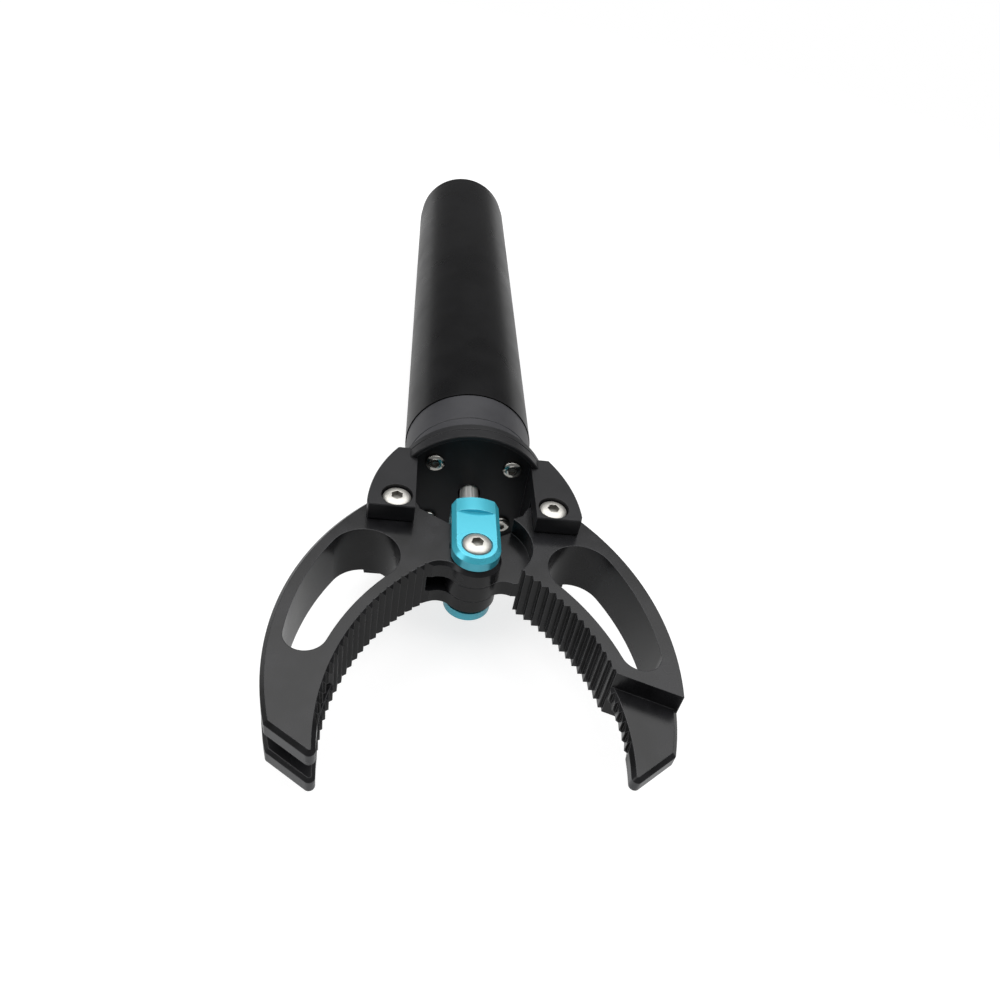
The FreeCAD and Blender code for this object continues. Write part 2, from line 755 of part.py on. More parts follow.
def build_pivots():
    """Screws and bushings that the jaws turn on."""
    seat = d.arm_half - d.lug_sink
    screws = []
    bushings = []
    for name, side in SIDES.items():
        screw = button_screw(
            f"{name}_pivot_screw",
            d.big_head,
            d.big_head_high,
            d.big_shank,
            seat + d.arm_half - d.edge_break,
            d.big_socket,
        )
        screws.append(place(screw, side * d.pivot_half, pivot_y, seat, AXIS_TO_Z))
        bushing = ring(f"{name}_bushing", d.big_shank + d.slip, d.pivot_bush_rad, -1 * d.gap_half, d.gap_half)
        bushings.append(place(bushing, side * d.pivot_half, pivot_y, 0.0, AXIS_TO_Z))
    node(group("pivot_screw_set", screws), "pivot_screws")
    node(group("bushing_set", bushings), "pivot_bushings")


class JawPlan:
    """Plan geometry of a jaw. Corners are worked out for the right jaw and mirrored for the left."""

    def __init__(self, side):
        self.side = side
        self.pivot = (value(d.pivot_half), value(pivot_y))
        self.pin = (0.0, value(pin_y))
        self.outer = (value(d.pivot_half - d.outer_dx), value(pivot_y - d.outer_dy))
        self.crest = (value(d.pivot_half - d.crest_dx), value(pivot_y - d.crest_dy))
        self.boss = value(d.outer_arc) - math.hypot(value(d.outer_dx), value(d.outer_dy))

    def flip(self, spot):
        """A corner of the right jaw, on this jaw's side."""
        return (self.side * spot[0], spot[1])

    def bound(self, dx, dy):
        """A place tied to the sheet, given from the pivot towards the other jaw and the tip."""
        return (self.side * (d.pivot_half - dx), pivot_y - dy)

    def rear_edge(self):
        """Ends of the straight rear edge, from the round tab to the boss about the pivot."""
        pivot = Vector(*self.pivot, 0)
        pin = Vector(*self.pin, 0)
        lever = pin - pivot
        along = lever / lever.Length
        square = Vector(along.y, -along.x, 0)
        near = value(d.rear_at_pivot)
        sine = (value(d.tab_rad) - near) / lever.Length
        cosine = math.sqrt(1 - sine**2)
        normal = square * cosine - along * sine
        run = along * cosine + square * sine
        tab_end = pin + normal * value(d.tab_rad)
        boss_end = pivot + normal * near + run * math.sqrt(self.boss**2 - near**2)
        return (tab_end.x, tab_end.y), (boss_end.x, boss_end.y)

    def outline(self):
        """Outer edge, slanted tip, crest arc, neck, round tab, rear edge and pivot boss, in order."""
        side = self.side
        boss_start = self.project(self.outer, self.pivot, value(d.outer_arc))
        slant = math.radians(value(d.tip_slant))
        tip_out = (value(d.pivot_half + d.tip_out_dx), value(pivot_y - d.tip_out_dy))
        drop = Vector(-math.cos(slant), -math.sin(slant), 0)
        tip_outer = self.along(tip_out, drop, self.outer, value(d.outer_arc))
        tip_inner = self.along(tip_out, drop, self.crest, value(d.crest_arc))
        tab = value(d.tab_rad)
        bend = value(d.neck_rad)
        crest = value(d.crest_arc)
        neck = crossing(self.pin, tab + bend, self.crest, crest - bend, lambda spot: spot.x)
        neck_end = self.project(self.crest, neck, crest)
        neck_start = self.project(self.pin, neck, tab)
        tab_end, boss_end = self.rear_edge()
        outer_centre = self.bound(d.outer_dx, d.outer_dy)
        crest_centre = self.bound(d.crest_dx, d.crest_dy)
        return [
            (self.flip(boss_start), (outer_centre, d.outer_arc, -side)),
            (self.flip(tip_outer), None),
            (self.flip(tip_inner), (crest_centre, d.crest_arc, side)),
            (self.flip(neck_end), (self.flip(neck), bend, side)),
            (self.flip(neck_start), (self.flip(self.pin), tab, -side)),
            (self.flip(tab_end), None),
            (self.flip(boss_end), (self.flip(self.pivot), self.boss, -side)),
        ]

    @staticmethod
    def along(start, direction, centre, radius):
        """Where a line through a point first meets a circle."""
        offset = Vector(*start, 0) - Vector(*centre, 0)
        half = offset.dot(direction)
        root = math.sqrt(half**2 - offset.dot(offset) + radius**2)
        spot = Vector(*start, 0) - direction * (half + root)
        return (spot.x, spot.y)

    def window(self):
        """Kidney-shaped window between arcs that run alongside the outer edge and the crests."""
        side = self.side
        far = value(d.outer_arc - d.window_outer)
        near = value(d.crest_arc + d.window_inner)
        ends = []
        for radius in (d.window_front, d.window_rear):
            size = value(radius)
            spot = crossing(self.outer, far - size, self.crest, near + size, lambda place: place.x)
            ends.append(((spot.x, spot.y), size))
        corners = []
        for (centre, size) in ends:
            corners.append((self.project(self.outer, centre, far), self.project(self.crest, centre, near)))
        (front_out, front_in), (rear_out, rear_in) = corners
        outer_centre = self.bound(d.outer_dx, d.outer_dy)
        crest_centre = self.bound(d.crest_dx, d.crest_dy)
        return [
            (self.flip(rear_out), (outer_centre, d.outer_arc - d.window_outer, -side)),
            (self.flip(front_out), (self.flip(ends[0][0]), ends[0][1], -side)),
            (self.flip(front_in), (crest_centre, d.crest_arc + d.window_inner, side)),
            (self.flip(rear_in), (self.flip(ends[1][0]), ends[1][1], -side)),
        ]

    @staticmethod
    def project(centre, target, radius):
        """The point of a circle in the direction of a target."""
        step = Vector(target[0] - centre[0], target[1] - centre[1], 0)
        step.normalize()
        return (centre[0] + step.x * radius, centre[1] + step.y * radius)

    def step(self):
        """Area past the step near the tip, where the two jaws pass through each other."""
        slant = math.radians(value(d.step_slant))
        inner = Vector(value(d.pivot_half + d.step_dx), value(pivot_y - d.step_dy), 0)
        along = Vector(math.cos(slant), -math.sin(slant), 0)
        ahead = Vector(-math.sin(slant), -math.cos(slant), 0)
        low = inner - along * BIG / 2
        high = inner + along * BIG / 2
        corners = [low, high, high + ahead * BIG, low + ahead * BIG]
        return polygon(*[self.flip((spot.x, spot.y)) for spot in corners])

    def stairs(self):
        """Area cut for the teeth: treads that run out from the crests, and risers that come back to them."""
        reach = value(d.crest_arc)
        count = int(value(d.tooth_count))
        crests = []
        for index in range(count + 1):
            angle = math.radians(value(d.tooth_last) + value(d.tooth_pitch) * (count - index))
            below = 0.02 if index < count else -0.2
            crests.append(
                (
                    self.crest[0] + (reach + below) * math.cos(angle),
                    self.crest[1] + (reach + below) * math.sin(angle),
                )
            )
        outline = []
        for here, following in zip(crests, crests[1:]):
            tread = max(following[0] - here[0], value(d.tooth_tread))
            outline.append((self.flip(here), None))
            outline.append((self.flip((here[0] + tread, here[1])), None))
        clear = reach - 1.2
        outline.append((self.flip(crests[-1]), None))
        back = (self.flip(self.crest), clear, self.side)
        outline.append((self.flip(self.project(self.crest, crests[-1], clear)), back))
        outline.append((self.flip(self.project(self.crest, crests[0], clear)), None))
        return outline

    def pin_path(self):
        """The pin's run in this jaw's own frame: ends and middle of a slightly bent slot."""
        spots = []
        for share in (0.0, 0.5, 1.0):
            angle = math.radians(value(d.close_angle)) * share
            step = Vector(self.pin[0] - self.pivot[0], self.pin[1] + stroke() * share - self.pivot[1], 0)
            spin = Rotation(UP, math.degrees(angle))
            spots.append(Vector(*self.pivot, 0) + spin.multVec(step))
        return spots

    def slot(self):
        """Slot for the clevis sleeve, with a round end at each end of the pin's run."""
        side = self.side
        start, middle, stop = self.pin_path()
        half = value(d.pin_rad + d.pin_play)
        circle = Part.Circle(start, middle, stop)
        hub = (circle.Center.x, circle.Center.y)
        turn = 1 if (middle - start).cross(stop - middle).z > 0 else -1
        wide = circle.Radius + half
        thin = circle.Radius - half
        first = (start.x, start.y)
        last = (stop.x, stop.y)
        return [
            (self.flip(self.project(hub, first, wide)), (self.flip(hub), wide, side * turn)),
            (self.flip(self.project(hub, last, wide)), (self.flip(last), half, side * turn)),
            (self.flip(self.project(hub, last, thin)), (self.flip(hub), thin, -side * turn)),
            (self.flip(self.project(hub, first, thin)), (self.flip(first), half, side * turn)),
        ]


def stroke():
    """Travel of the rod that swings each jaw by the closing angle."""
    rise = value(d.pin_reach - d.pivot_reach)
    lever_angle = math.atan2(rise, value(d.pivot_half))
    return rise - value(d.pivot_half) * math.tan(lever_angle - math.radians(value(d.close_angle)))


def build_jaw(name):
    """One jaw. The left jaw is forked and the right jaw is tongued, at the pin and at the tip."""
    side = SIDES[name]
    plan = JawPlan(side)
    body = doc.addObject("PartDesign::Body", f"{name}_jaw_body")
    blank = sketch_on(body, f"{name}_jaw_outline")
    draw(blank, plan.outline())
    pad(body, f"{name}_jaw_pad", blank, d.jaw_half * 2)

    tip_y = value(pivot_y - d.tip_out_dy)
    corner_x = value(d.pivot_half + d.tip_out_dx)

    def outer_corner(edge, middle):
        return upright(edge) and middle.y < tip_y + 3 and abs(middle.x) > corner_x - 3

    def inner_corner(edge, middle):
        return upright(edge) and middle.y < tip_y - 3 and abs(middle.x) < corner_x - 6

    dress(body, "Fillet", f"{name}_tip_shoulder", d.tip_shoulder, outer_corner)
    dress(body, "Fillet", f"{name}_tip_round", d.tip_round, inner_corner)

    window = sketch_on(body, f"{name}_window")
    draw(window, plan.window())
    pocket(body, f"{name}_window_cut", window, both=True)

    hole = sketch_on(body, f"{name}_pivot_bore")
    draw_circle(hole, (side * d.pivot_half, pivot_y), d.pivot_bush_rad + d.slip)
    pocket(body, f"{name}_pivot_bore_cut", hole, both=True)
    slot = sketch_on(body, f"{name}_pin_slot")
    draw(slot, plan.slot())
    pocket(body, f"{name}_pin_slot_cut", slot, both=True)

    relief = (side * d.relief_dx, front - d.relief_dy)
    if name == "left":
        mid = sketch_on(body, "left_tab_slot")
        draw_circle(mid, relief, d.relief_rad)
        pocket(body, "left_tab_slot_cut", mid, length=d.fork_half * 2, both=True)
        fork = sketch_on(body, "left_tip_slot")
        draw(fork, plan.step())
        pocket(body, "left_tip_slot_cut", fork, length=d.fork_half * 2, both=True)
        bevels = [("tip_bevel", d.jaw_half, d.tip_bevel, 1), ("prong_bevel", d.fork_half, d.prong_bevel, -1)]
    else:
        for level, up in ((d.tongue_half, True), (-1 * d.tongue_half, False)):
            word = "upper" if up else "lower"
            tab = sketch_on(body, f"right_{word}_tab", lift=level)
            draw_circle(tab, relief, d.relief_rad)
            pocket(body, f"right_{word}_tab_cut", tab, reverse=up)
            tip = sketch_on(body, f"right_{word}_tip", lift=level)
            draw(tip, plan.step())
            pocket(body, f"right_{word}_tip_cut", tip, reverse=up)
        bevels = [("tip_bevel", d.tongue_half, d.tip_bevel, 1)]

    slant = math.radians(value(d.tip_slant))

    def on_slant(middle):
        """Whether a place is along the slanted end or on one of its rounded corners."""
        beyond = (abs(middle.x) - corner_x) * math.sin(slant) - (middle.y - tip_y) * math.cos(slant)
        return beyond > -1.5

    for word, level, size, _ in bevels:
        height = value(level)
        dress(
            body,
            "Chamfer",
            f"{name}_{word}",
            size,
            lambda edge, middle: abs(abs(middle.z) - height) < 1e-4 and on_slant(middle),
        )
    bevel_inner_tip(body, name, plan, bevels)

    teeth = sketch_on(body, f"{name}_stairs")
    draw(teeth, plan.stairs())
    pocket(body, f"{name}_stairs_cut", teeth, both=True)
    node(body, f"{name}_jaw")


def bevel_inner_tip(body, name, plan, bevels):
    """Carry the tip's bevels along the plain inner edge, up to the last tooth."""
    edge = value(d.crest_arc)
    spare = 0.2
    run = 9.0
    turn = value(d.tooth_last) - run / 2
    turn = turn if plan.side > 0 else 180 - turn
    centre = plan.flip(plan.crest)
    section = sketch_on(body, f"{name}_inner_bevel", "XZ_Plane")
    section.AttachmentOffset = Placement(Vector(centre[0], 0, -centre[1]), Rotation(Vector(0, 1, 0), turn))
    for _, level, size, way in bevels:
        reach = value(size) + spare
        for up in (way, -way):
            height = value(level) * up * way
            corners = [
                (edge - spare, height + up * spare),
                (edge + reach, height + up * spare),
                (edge - spare, height - up * reach),
            ]
            draw(section, polygon(*corners))
    before = cut_volume(body)
    groove = body.newObject("PartDesign::Groove", f"{name}_inner_bevel_cut")
    groove.Profile = section
    groove.ReferenceAxis = (section, ["V_Axis"])
    groove.Angle = run
    groove.Midplane = True
    if cut_volume(body) >= before:
        raise RuntimeError(f"the inner bevel cuts nothing from {name}")


def build_clevis():
    """Blue clevis with its screw and sleeve."""
    half = d.clevis_width / 2
    corner = d.clevis_bevel
    plan = [
        ((half, pin_y), None),
        ((half, clevis_back - corner), None),
        ((half - corner, clevis_back), None),
        ((corner - half, clevis_back), None),
        ((-1 * half, clevis_back - corner), None),
        ((-1 * half, pin_y), ((0.0, value(pin_y)), value(half), 1)),
    ]
    clevis = doc.addObject("PartDesign::Body", "clevis_bar")
    blank = sketch_on(clevis, "clevis_plan")
    draw(blank, plan)
    pad(clevis, "clevis_pad", blank, d.clevis_flat * 2)
    top = value(d.clevis_flat)
    limit = value(clevis_back - corner)
    dress(
        clevis,
        "Chamfer",
        "clevis_flat_bevel",
        corner,
        lambda edge, middle: abs(abs(middle.z) - top) < 1e-4 and middle.y < limit,
    )
    middle = (Cell(0, "0"), Cell(0, "0"))
    wide = half - corner - d.slip
    high = math.sqrt(value(d.clevis_round) ** 2 - value(wide) ** 2)
    crown = (middle, d.clevis_round, 1)
    band = sketch_on(clevis, "clevis_band_section", "XZ_Plane", lift=d.clevis_band / 2 - clevis_back)
    draw(
        band,
        [
            ((wide, high), crown),
            ((-1 * wide, high), None),
            ((-1 * wide, -high), crown),
            ((wide, -high), None),
        ],
    )
    pad(clevis, "clevis_band_pad", band, d.clevis_band)
    stub = sketch_on(clevis, "clevis_rod_hole", "XZ_Plane", lift=-1 * (pin_y - d.clevis_width))
    draw_circle(stub, middle, d.rod_stub + d.slip)
    pocket(clevis, "clevis_rod_drill", stub)
    fork = sketch_on(clevis, "clevis_fork")
    draw(fork, rectangle((-BIG, value(pin_y) - BIG), (BIG, clevis_back - d.clevis_web)))
    pocket(clevis, "clevis_fork_cut", fork, length=d.gap_half * 2, both=True)
    hole = sketch_on(clevis, "clevis_hole")
    draw_circle(hole, (Cell(0, "0"), pin_y), d.big_shank + d.slip)
    pocket(clevis, "clevis_drill", hole, both=True)
    seat = sketch_on(clevis, "clevis_seat", lift=d.clevis_flat - d.clevis_sink)
    draw_circle(seat, (Cell(0, "0"), pin_y), d.clevis_seat)
    pocket(clevis, "clevis_sink_cut", seat, reverse=True)
    node(clevis, "clevis")

    seat_z = d.clevis_flat - d.clevis_sink
    long = seat_z + d.clevis_flat - d.edge_break
    screw = button_screw("clevis_bolt", d.big_head, d.big_head_high, d.big_shank, long, d.big_socket)
    node(place(screw, y=pin_y, z=seat_z, turn=AXIS_TO_Z), "clevis_screw")
    sleeve = ring("sleeve", d.big_shank + d.slip, d.pin_rad, -1 * d.gap_half, d.gap_half)
    node(place(sleeve, y=pin_y, turn=AXIS_TO_Z), "clevis_sleeve")


def build_rod_and_nut():
    """Push rod, nut carrier with its two keys, lead nut and the guide that they run in."""
    stub_front = clevis_back - d.clevis_web
    rod = turned(
        "rod",
        [
            (0, stub_front),
            (d.rod_stub, stub_front),
            (d.rod_stub, clevis_back),
            (d.rod_rad, clevis_back),
            (d.rod_rad, carrier_front),
            (d.rod_stub, carrier_front),
            (d.rod_stub, carrier_front + d.carrier_wall),
            (0, carrier_front + d.carrier_wall),
        ],
    )
    node(rod, "push_rod")

    hollow_front = carrier_front + d.carrier_wall
    carrier_rad = d.guide_rad - d.carrier_play
    carrier = turned(
        "carrier",
        [
            (d.rod_stub + d.slip, carrier_front),
            (carrier_rad, carrier_front),
            (carrier_rad, nut_rear),
            (d.nut_rad, nut_rear),
            (d.nut_rad, nut_front),
            (d.nut_rad - 2, nut_front),
            (d.nut_rad - 2, hollow_front),
            (d.rod_stub + d.slip, hollow_front),
        ],
    )
    keyed = sketch_on(carrier, "carrier_keys")
    for side in (-1, 1):
        low = side * (d.nut_rad + 1)
        draw(keyed, rectangle((low, carrier_front + 4), (side * d.key_rad, nut_rear - 4)))
    pad(carrier, "carrier_key_pad", keyed, d.key_width)
    node(carrier, "nut_carrier")
    node(ring("nut", d.screw_rad + d.slip, d.nut_rad - d.slip, nut_front, nut_rear), "lead_nut")

    guide = ring("guide", d.guide_rad, plug_rad, plug_rear, guide_rear)
    ways = sketch_on(guide, "guide_keyways")
    for side in (-1, 1):
        low = side * (d.guide_rad - 2)
        high = side * (d.key_rad + d.carrier_play)
        draw(ways, rectangle((low, plug_rear - 1), (high, guide_rear + 1)))
    pocket(guide, "guide_keyway_cut", ways, length=d.key_width + d.carrier_play * 2, both=True)
    node(guide, "nut_guide")


def build_drive():
    """Lead screw, bearing, coupling, motor mount, gearbox, motor and control board."""
    bearing_rear = guide_rear + d.bearing_long
    coupling_front = bearing_rear + 3
    coupling_rear = coupling_front + d.coupling_long
    coupling_middle = (coupling_front + coupling_rear) / 2
    screw = turned(
        "screw",
        [
            (0, nut_front - d.screw_spare),
            (d.screw_rad, nut_front - d.screw_spare),
            (d.screw_rad, guide_rear),
            (d.journal_rad, guide_rear),
            (d.journal_rad, coupling_front),
            (d.drive_rad, coupling_front),
            (d.drive_rad, coupling_middle - 0.5),
            (0, coupling_middle - 0.5),
        ],
    )
    node(screw, "lead_screw")
    groove = 0.8
    node(
        turned(
            "bearing",
            [
                (d.journal_rad + d.slip, guide_rear),
                (d.bearing_rad - d.slip, guide_rear),
                (d.bearing_rad - d.slip, guide_rear + d.bearing_long * 0.35),
                (d.bearing_rad - groove, guide_rear + d.bearing_long * 0.35),
                (d.bearing_rad - groove, guide_rear + d.bearing_long * 0.65),
                (d.bearing_rad - d.slip, guide_rear + d.bearing_long * 0.65),
                (d.bearing_rad - d.slip, bearing_rear),
                (d.journal_rad + d.slip, bearing_rear),
            ],
        ),
        "thrust_bearing",
    )
    coupling = ring("coupler", d.drive_rad + d.slip, d.coupling_rad, coupling_front, coupling_rear)
    set_rad = 0.8
    set_holes = sketch_on(coupling, "set_screw_holes")
    stations = (coupling_front + d.coupling_long * 0.2, coupling_front + d.coupling_long * 0.8)
    for station in stations:
        draw_circle(set_holes, (Cell(0, "0"), station), set_rad + d.slip)
    pocket(coupling, "set_screw_tapping", set_holes, reverse=True)
    node(coupling, "shaft_coupling")
    set_screws = []
    for station in stations:
        item = disc(f"set_screw_{len(set_screws) + 1}", set_rad, d.drive_rad + d.slip, d.coupling_rad)
        set_screws.append(place(item, y=station, turn=AXIS_TO_Z))
    node(group("set_screws", set_screws), "coupling_set_screws")

    plate_front = mount_rear - d.mount_plate
    boss_room = d.drive_rad + 1.5
    mount = turned(
        "mount",
        [
            (d.bearing_rad, guide_rear),
            (plug_rad, guide_rear),
            (plug_rad, mount_rear),
            (boss_room, mount_rear),
            (boss_room, plate_front),
            (d.mount_bore, plate_front),
            (d.mount_bore, bearing_rear + 2),
            (d.bearing_rad - 1.5, bearing_rear + 2),
            (d.bearing_rad - 1.5, bearing_rear),
            (d.bearing_rad, bearing_rear),
        ],
    )
    screw_room = d.mount_screw_rad + d.slip
    drill = sketch_on(mount, "gearbox_screw_holes", "XZ_Plane", lift=-1 * plate_front)
    spots = []
    for index in range(4):
        angle = math.radians(45 + 90 * index)
        spots.append((d.mount_screw_ring * math.cos(angle), d.mount_screw_ring * math.sin(angle)))
    for spot in spots:
        draw_circle(drill, spot, screw_room)
    pocket(mount, "gearbox_screw_drill", drill)
    node(mount, "motor_mount")
    gearbox = turned(
        "gears",
        [
            (d.drive_rad + d.slip, mount_rear),
            (d.gearbox_rad, mount_rear),
            (d.gearbox_rad, gearbox_rear),
            (0, gearbox_rear),
            (0, mount_rear + 6),
            (d.drive_rad + d.slip, mount_rear + 6),
        ],
    )
    tapped = sketch_on(gearbox, "gearbox_tapped_holes", "XZ_Plane", lift=-1 * mount_rear)
    for spot in spots:
        draw_circle(tapped, spot, screw_room)
    pocket(gearbox, "gearbox_tapping", tapped, length=4.0)
    node(gearbox, "gearbox")
    screws = []
    for spot in spots:
        item = button_screw(
            f"gearbox_screw_{len(screws) + 1}",
            d.mount_screw_head,
            d.mount_screw_high,
            d.mount_screw_rad,
            d.mount_plate + 3.5,
            d.mount_screw_socket,
        )
        screws.append(place(item, spot[0], plate_front, spot[1], Rotation(Vector(1, 0, 0), 180)))
    node(group("gearbox_screw_set", screws), "gearbox_screws")
    node(disc("output_shaft", d.drive_rad, coupling_middle + 0.5, mount_rear + 5.5), "gearbox_shaft")
    can = turned(
        "can",
        [
            (0, gearbox_rear),
            (d.motor_rad, gearbox_rear),
            (d.motor_rad, motor_rear - 1),
            (d.motor_rad - 1, motor_rear),
            (0, motor_rear),
        ],
    )
    node(can, "motor_can")
    node(disc("bell", d.bell_rad, motor_rear, motor_rear + d.bell_long), "motor_end_bell")

    board_rear = rear_plug_front - d.standoff_long
    board_front = board_rear - d.board_thick
    board = disc("board", d.board_rad, board_front, board_rear)
    node(board, "control_board")
    standoffs = []
    for index in range(3):
        angle = math.radians(90 + 120 * index)
        item = disc(f"standoff_{index + 1}", d.standoff_rad, board_rear, rear_plug_front)
        x = d.standoff_ring * math.cos(angle)
        standoffs.append(place(item, x=x, z=d.standoff_ring * math.sin(angle)))
    node(group("standoff_set", standoffs), "board_standoffs")
    chips = []
    for width, high, x, z in ((8.0, 2.0, -9.0, -4.0), (6.0, 2.4, 3.0, 4.0), (10.0, 3.0, -3.0, -12.0)):
        chip = doc.addObject("Part::Box", f"chip_{len(chips) + 1}")
        bind(chip, "Length", width)
        bind(chip, "Width", high)
        bind(chip, "Height", width * 0.7)
        chips.append(place(chip, x, board_front - high, z))
    node(group("chip_set", chips), "board_components")


def check_and_write():
    """Stop at any failed object, then write every sub-part to its own file."""
    doc.recompute()
    for item in doc.Objects:
        if "Invalid" in item.State or "Error" in item.State:
            raise RuntimeError(f"{item.Name} failed: {item.State}")
    os.makedirs("parts", exist_ok=True)
    for label, item in nodes.items():
        shape = item.Shape
        if shape.isNull() or not shape.isValid():
            raise RuntimeError(f"{label} has no valid shape")
        shape.exportStep(f"parts/{label}.step")
        print(f"{label}: {len(shape.Solids)} solid, {shape.Volume:.0f} mm3")
    ratio = math.radians(value(d.close_angle)) / stroke() * 1000
    print(f"rod stroke {stroke():.4f} mm, ratio {ratio:.5f} rad/m")


build_tube_and_caps()
build_cable_gland()
build_bracket()
build_pivots()
build_jaw("left")
build_jaw("right")
build_clevis()
build_rod_and_nut()
build_drive()
check_and_write()
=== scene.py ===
"""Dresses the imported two-jaw underwater claw: finishes, screws, soft studio light and camera."""

from __future__ import annotations

import json
import logging
import math
from dataclasses import dataclass, field
from enum import Enum
from typing import Any, Iterable, Optional, Protocol, Union

import bpy
from mathutils import Matrix, Vector

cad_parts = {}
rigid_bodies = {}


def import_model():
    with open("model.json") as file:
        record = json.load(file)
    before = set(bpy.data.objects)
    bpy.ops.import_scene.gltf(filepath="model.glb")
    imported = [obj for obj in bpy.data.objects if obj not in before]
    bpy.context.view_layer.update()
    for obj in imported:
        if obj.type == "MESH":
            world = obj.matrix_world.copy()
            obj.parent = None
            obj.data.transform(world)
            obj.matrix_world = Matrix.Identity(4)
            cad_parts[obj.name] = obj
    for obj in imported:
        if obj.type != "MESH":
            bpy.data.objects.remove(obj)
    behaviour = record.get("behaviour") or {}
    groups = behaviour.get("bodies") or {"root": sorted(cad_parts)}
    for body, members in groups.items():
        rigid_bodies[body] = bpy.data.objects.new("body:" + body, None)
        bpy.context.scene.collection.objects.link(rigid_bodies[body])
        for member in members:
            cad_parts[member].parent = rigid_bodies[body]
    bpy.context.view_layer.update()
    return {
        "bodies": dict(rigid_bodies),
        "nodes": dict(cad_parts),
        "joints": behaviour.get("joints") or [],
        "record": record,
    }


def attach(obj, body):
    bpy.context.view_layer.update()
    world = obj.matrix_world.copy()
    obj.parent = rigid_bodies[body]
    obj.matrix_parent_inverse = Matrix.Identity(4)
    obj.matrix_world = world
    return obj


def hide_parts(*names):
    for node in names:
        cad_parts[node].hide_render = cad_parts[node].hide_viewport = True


log = logging.getLogger("claw")

Colour = tuple[float, float, float, float]
Spot = tuple[float, float, float]
Inputs = dict[Union[str, int], Any]
Material = bpy.types.Material
Node = bpy.types.Node
Socket = bpy.types.NodeSocket
Tree = bpy.types.NodeTree

MM = 0.001
FULL_TURN = 2.0 * math.pi
WHITE: Colour = (1.0, 1.0, 1.0, 1.0)

# Some nodes have several sockets of one name, so these are told apart by number.
MIX_SHARE = 0
NUMBER_A, NUMBER_B, MIXED_NUMBER = 2, 3, 0
COLOUR_A, COLOUR_B, MIXED_COLOUR = 6, 7, 2
RANDOM_LOW, RANDOM_HIGH, RANDOM_NUMBER = 2, 3, 1

# Most of a noise texture lies between these values.
NOISE_RANGE: Inputs = {"From Min": 0.3, "From Max": 0.7}
# Values of the patches between which a dye goes from clean to smudged.
SMUDGE_RANGE: Inputs = {"From Min": 0.38, "From Max": 0.62}
# How far the roughness of anodising swings from patch to patch, and how strongly its grit shows.
PATCH_SPREAD = 0.04
GRIT_STRENGTH = 0.35
# How far a metal's roughness swings with its marks, as a share, and how strongly they show.
MARK_SPREAD = 0.2
MARK_STRENGTH = 0.3
PEBBLE_STRENGTH = 0.5
# Anisotropy's turn, in turns, that lays the streaks along the rod.
STREAK_TURN = 0.25
# Agreement of a rounded edge's normal with its face: on the face and on a worn edge that also gets
# a painted highlight.
EDGE_AGREEMENT: Inputs = {"From Min": 0.995, "From Max": 0.86}
EDGE_SAMPLES = 6
# Share of open sky close by: in a corner and on an outer edge.
OPEN_SKY: Inputs = {"From Min": 0.7, "From Max": 0.95}
CORNER_REACH = 0.8 * MM
SKY_SAMPLES = 4
# Upright share of a face's normal: where rubbing starts and where it is full.
UPRIGHT_RANGE: Inputs = {"From Min": 0.5, "From Max": 0.2}
RUB_FADE_MM = 2.0


class Facing(Enum):
    """Which way a screw's head looks, as the turn that takes +Z there."""

    UP = (0.0, 0.0, 0.0)
    FORWARD = (math.pi / 2.0, 0.0, 0.0)


class Body(Enum):
    """Moving bodies that the new pieces ride on."""

    HOUSING = "housing"
    ROD = "rod"


class ScrewInput(Enum):
    """Named inputs of the screw tree."""

    HEAD = "Head radius"
    HIGH = "Head height"
    SHANK = "Shank radius"
    LENGTH = "Shank length"
    SOCKET = "Socket radius"
    TURN = "Turn"
    SEED = "Seed"
    MATERIAL = "Material"
    SOCKET_MATERIAL = "Socket material"


class Finish(Protocol):
    """Anything that can make its own material."""

    def material(self) -> Material:
        """Build the material."""


def linear(hex_colour: str) -> Colour:
    """Turn an sRGB hex colour into linear light.

    Args:
        hex_colour: Six hex digits, with or without a leading hash.

    Returns:
        Red, green and blue in linear light, and an alpha of one.
    """
    digits = hex_colour.lstrip("#")
    channels = []
    for start in (0, 2, 4):
        level = int(digits[start : start + 2], 16) / 255.0
        channels.append(level / 12.92 if level <= 0.04045 else ((level + 0.055) / 1.055) ** 2.4)
    return channels[0], channels[1], channels[2], 1.0


def per_metre(size_mm: float) -> float:
    """Texture scale, in cycles per metre, of a pattern that repeats every so many millimetres."""
    return 1.0 / (size_mm * MM)


def add_node(
    tree: Tree, kind: str, inputs: Optional[Inputs] = None, **settings: Any
) -> Node:
    """Add one node with its settings, its values and its links.

    Args:
        tree: The tree that the node joins.
        kind: Blender's type name of the node.
        inputs: Values or output sockets, by input name or number.
        **settings: Properties of the node itself.

    Returns:
        The new node.
    """
    node = tree.nodes.new(kind)
    for name, setting in settings.items():
        setattr(node, name, setting)
    for name, value in (inputs or {}).items():
        if isinstance(value, Socket):
            tree.links.new(value, node.inputs[name])
        else:
            node.inputs[name].default_value = value
    return node


def new_material(name: str) -> tuple[Material, Tree]:
    """Make an empty node material.

    Args:
        name: Name of the material.

    Returns:
        The material and its cleared node tree.
    """
    material = bpy.data.materials.new(name)
    material.use_nodes = True
    material.node_tree.nodes.clear()
    return material, material.node_tree


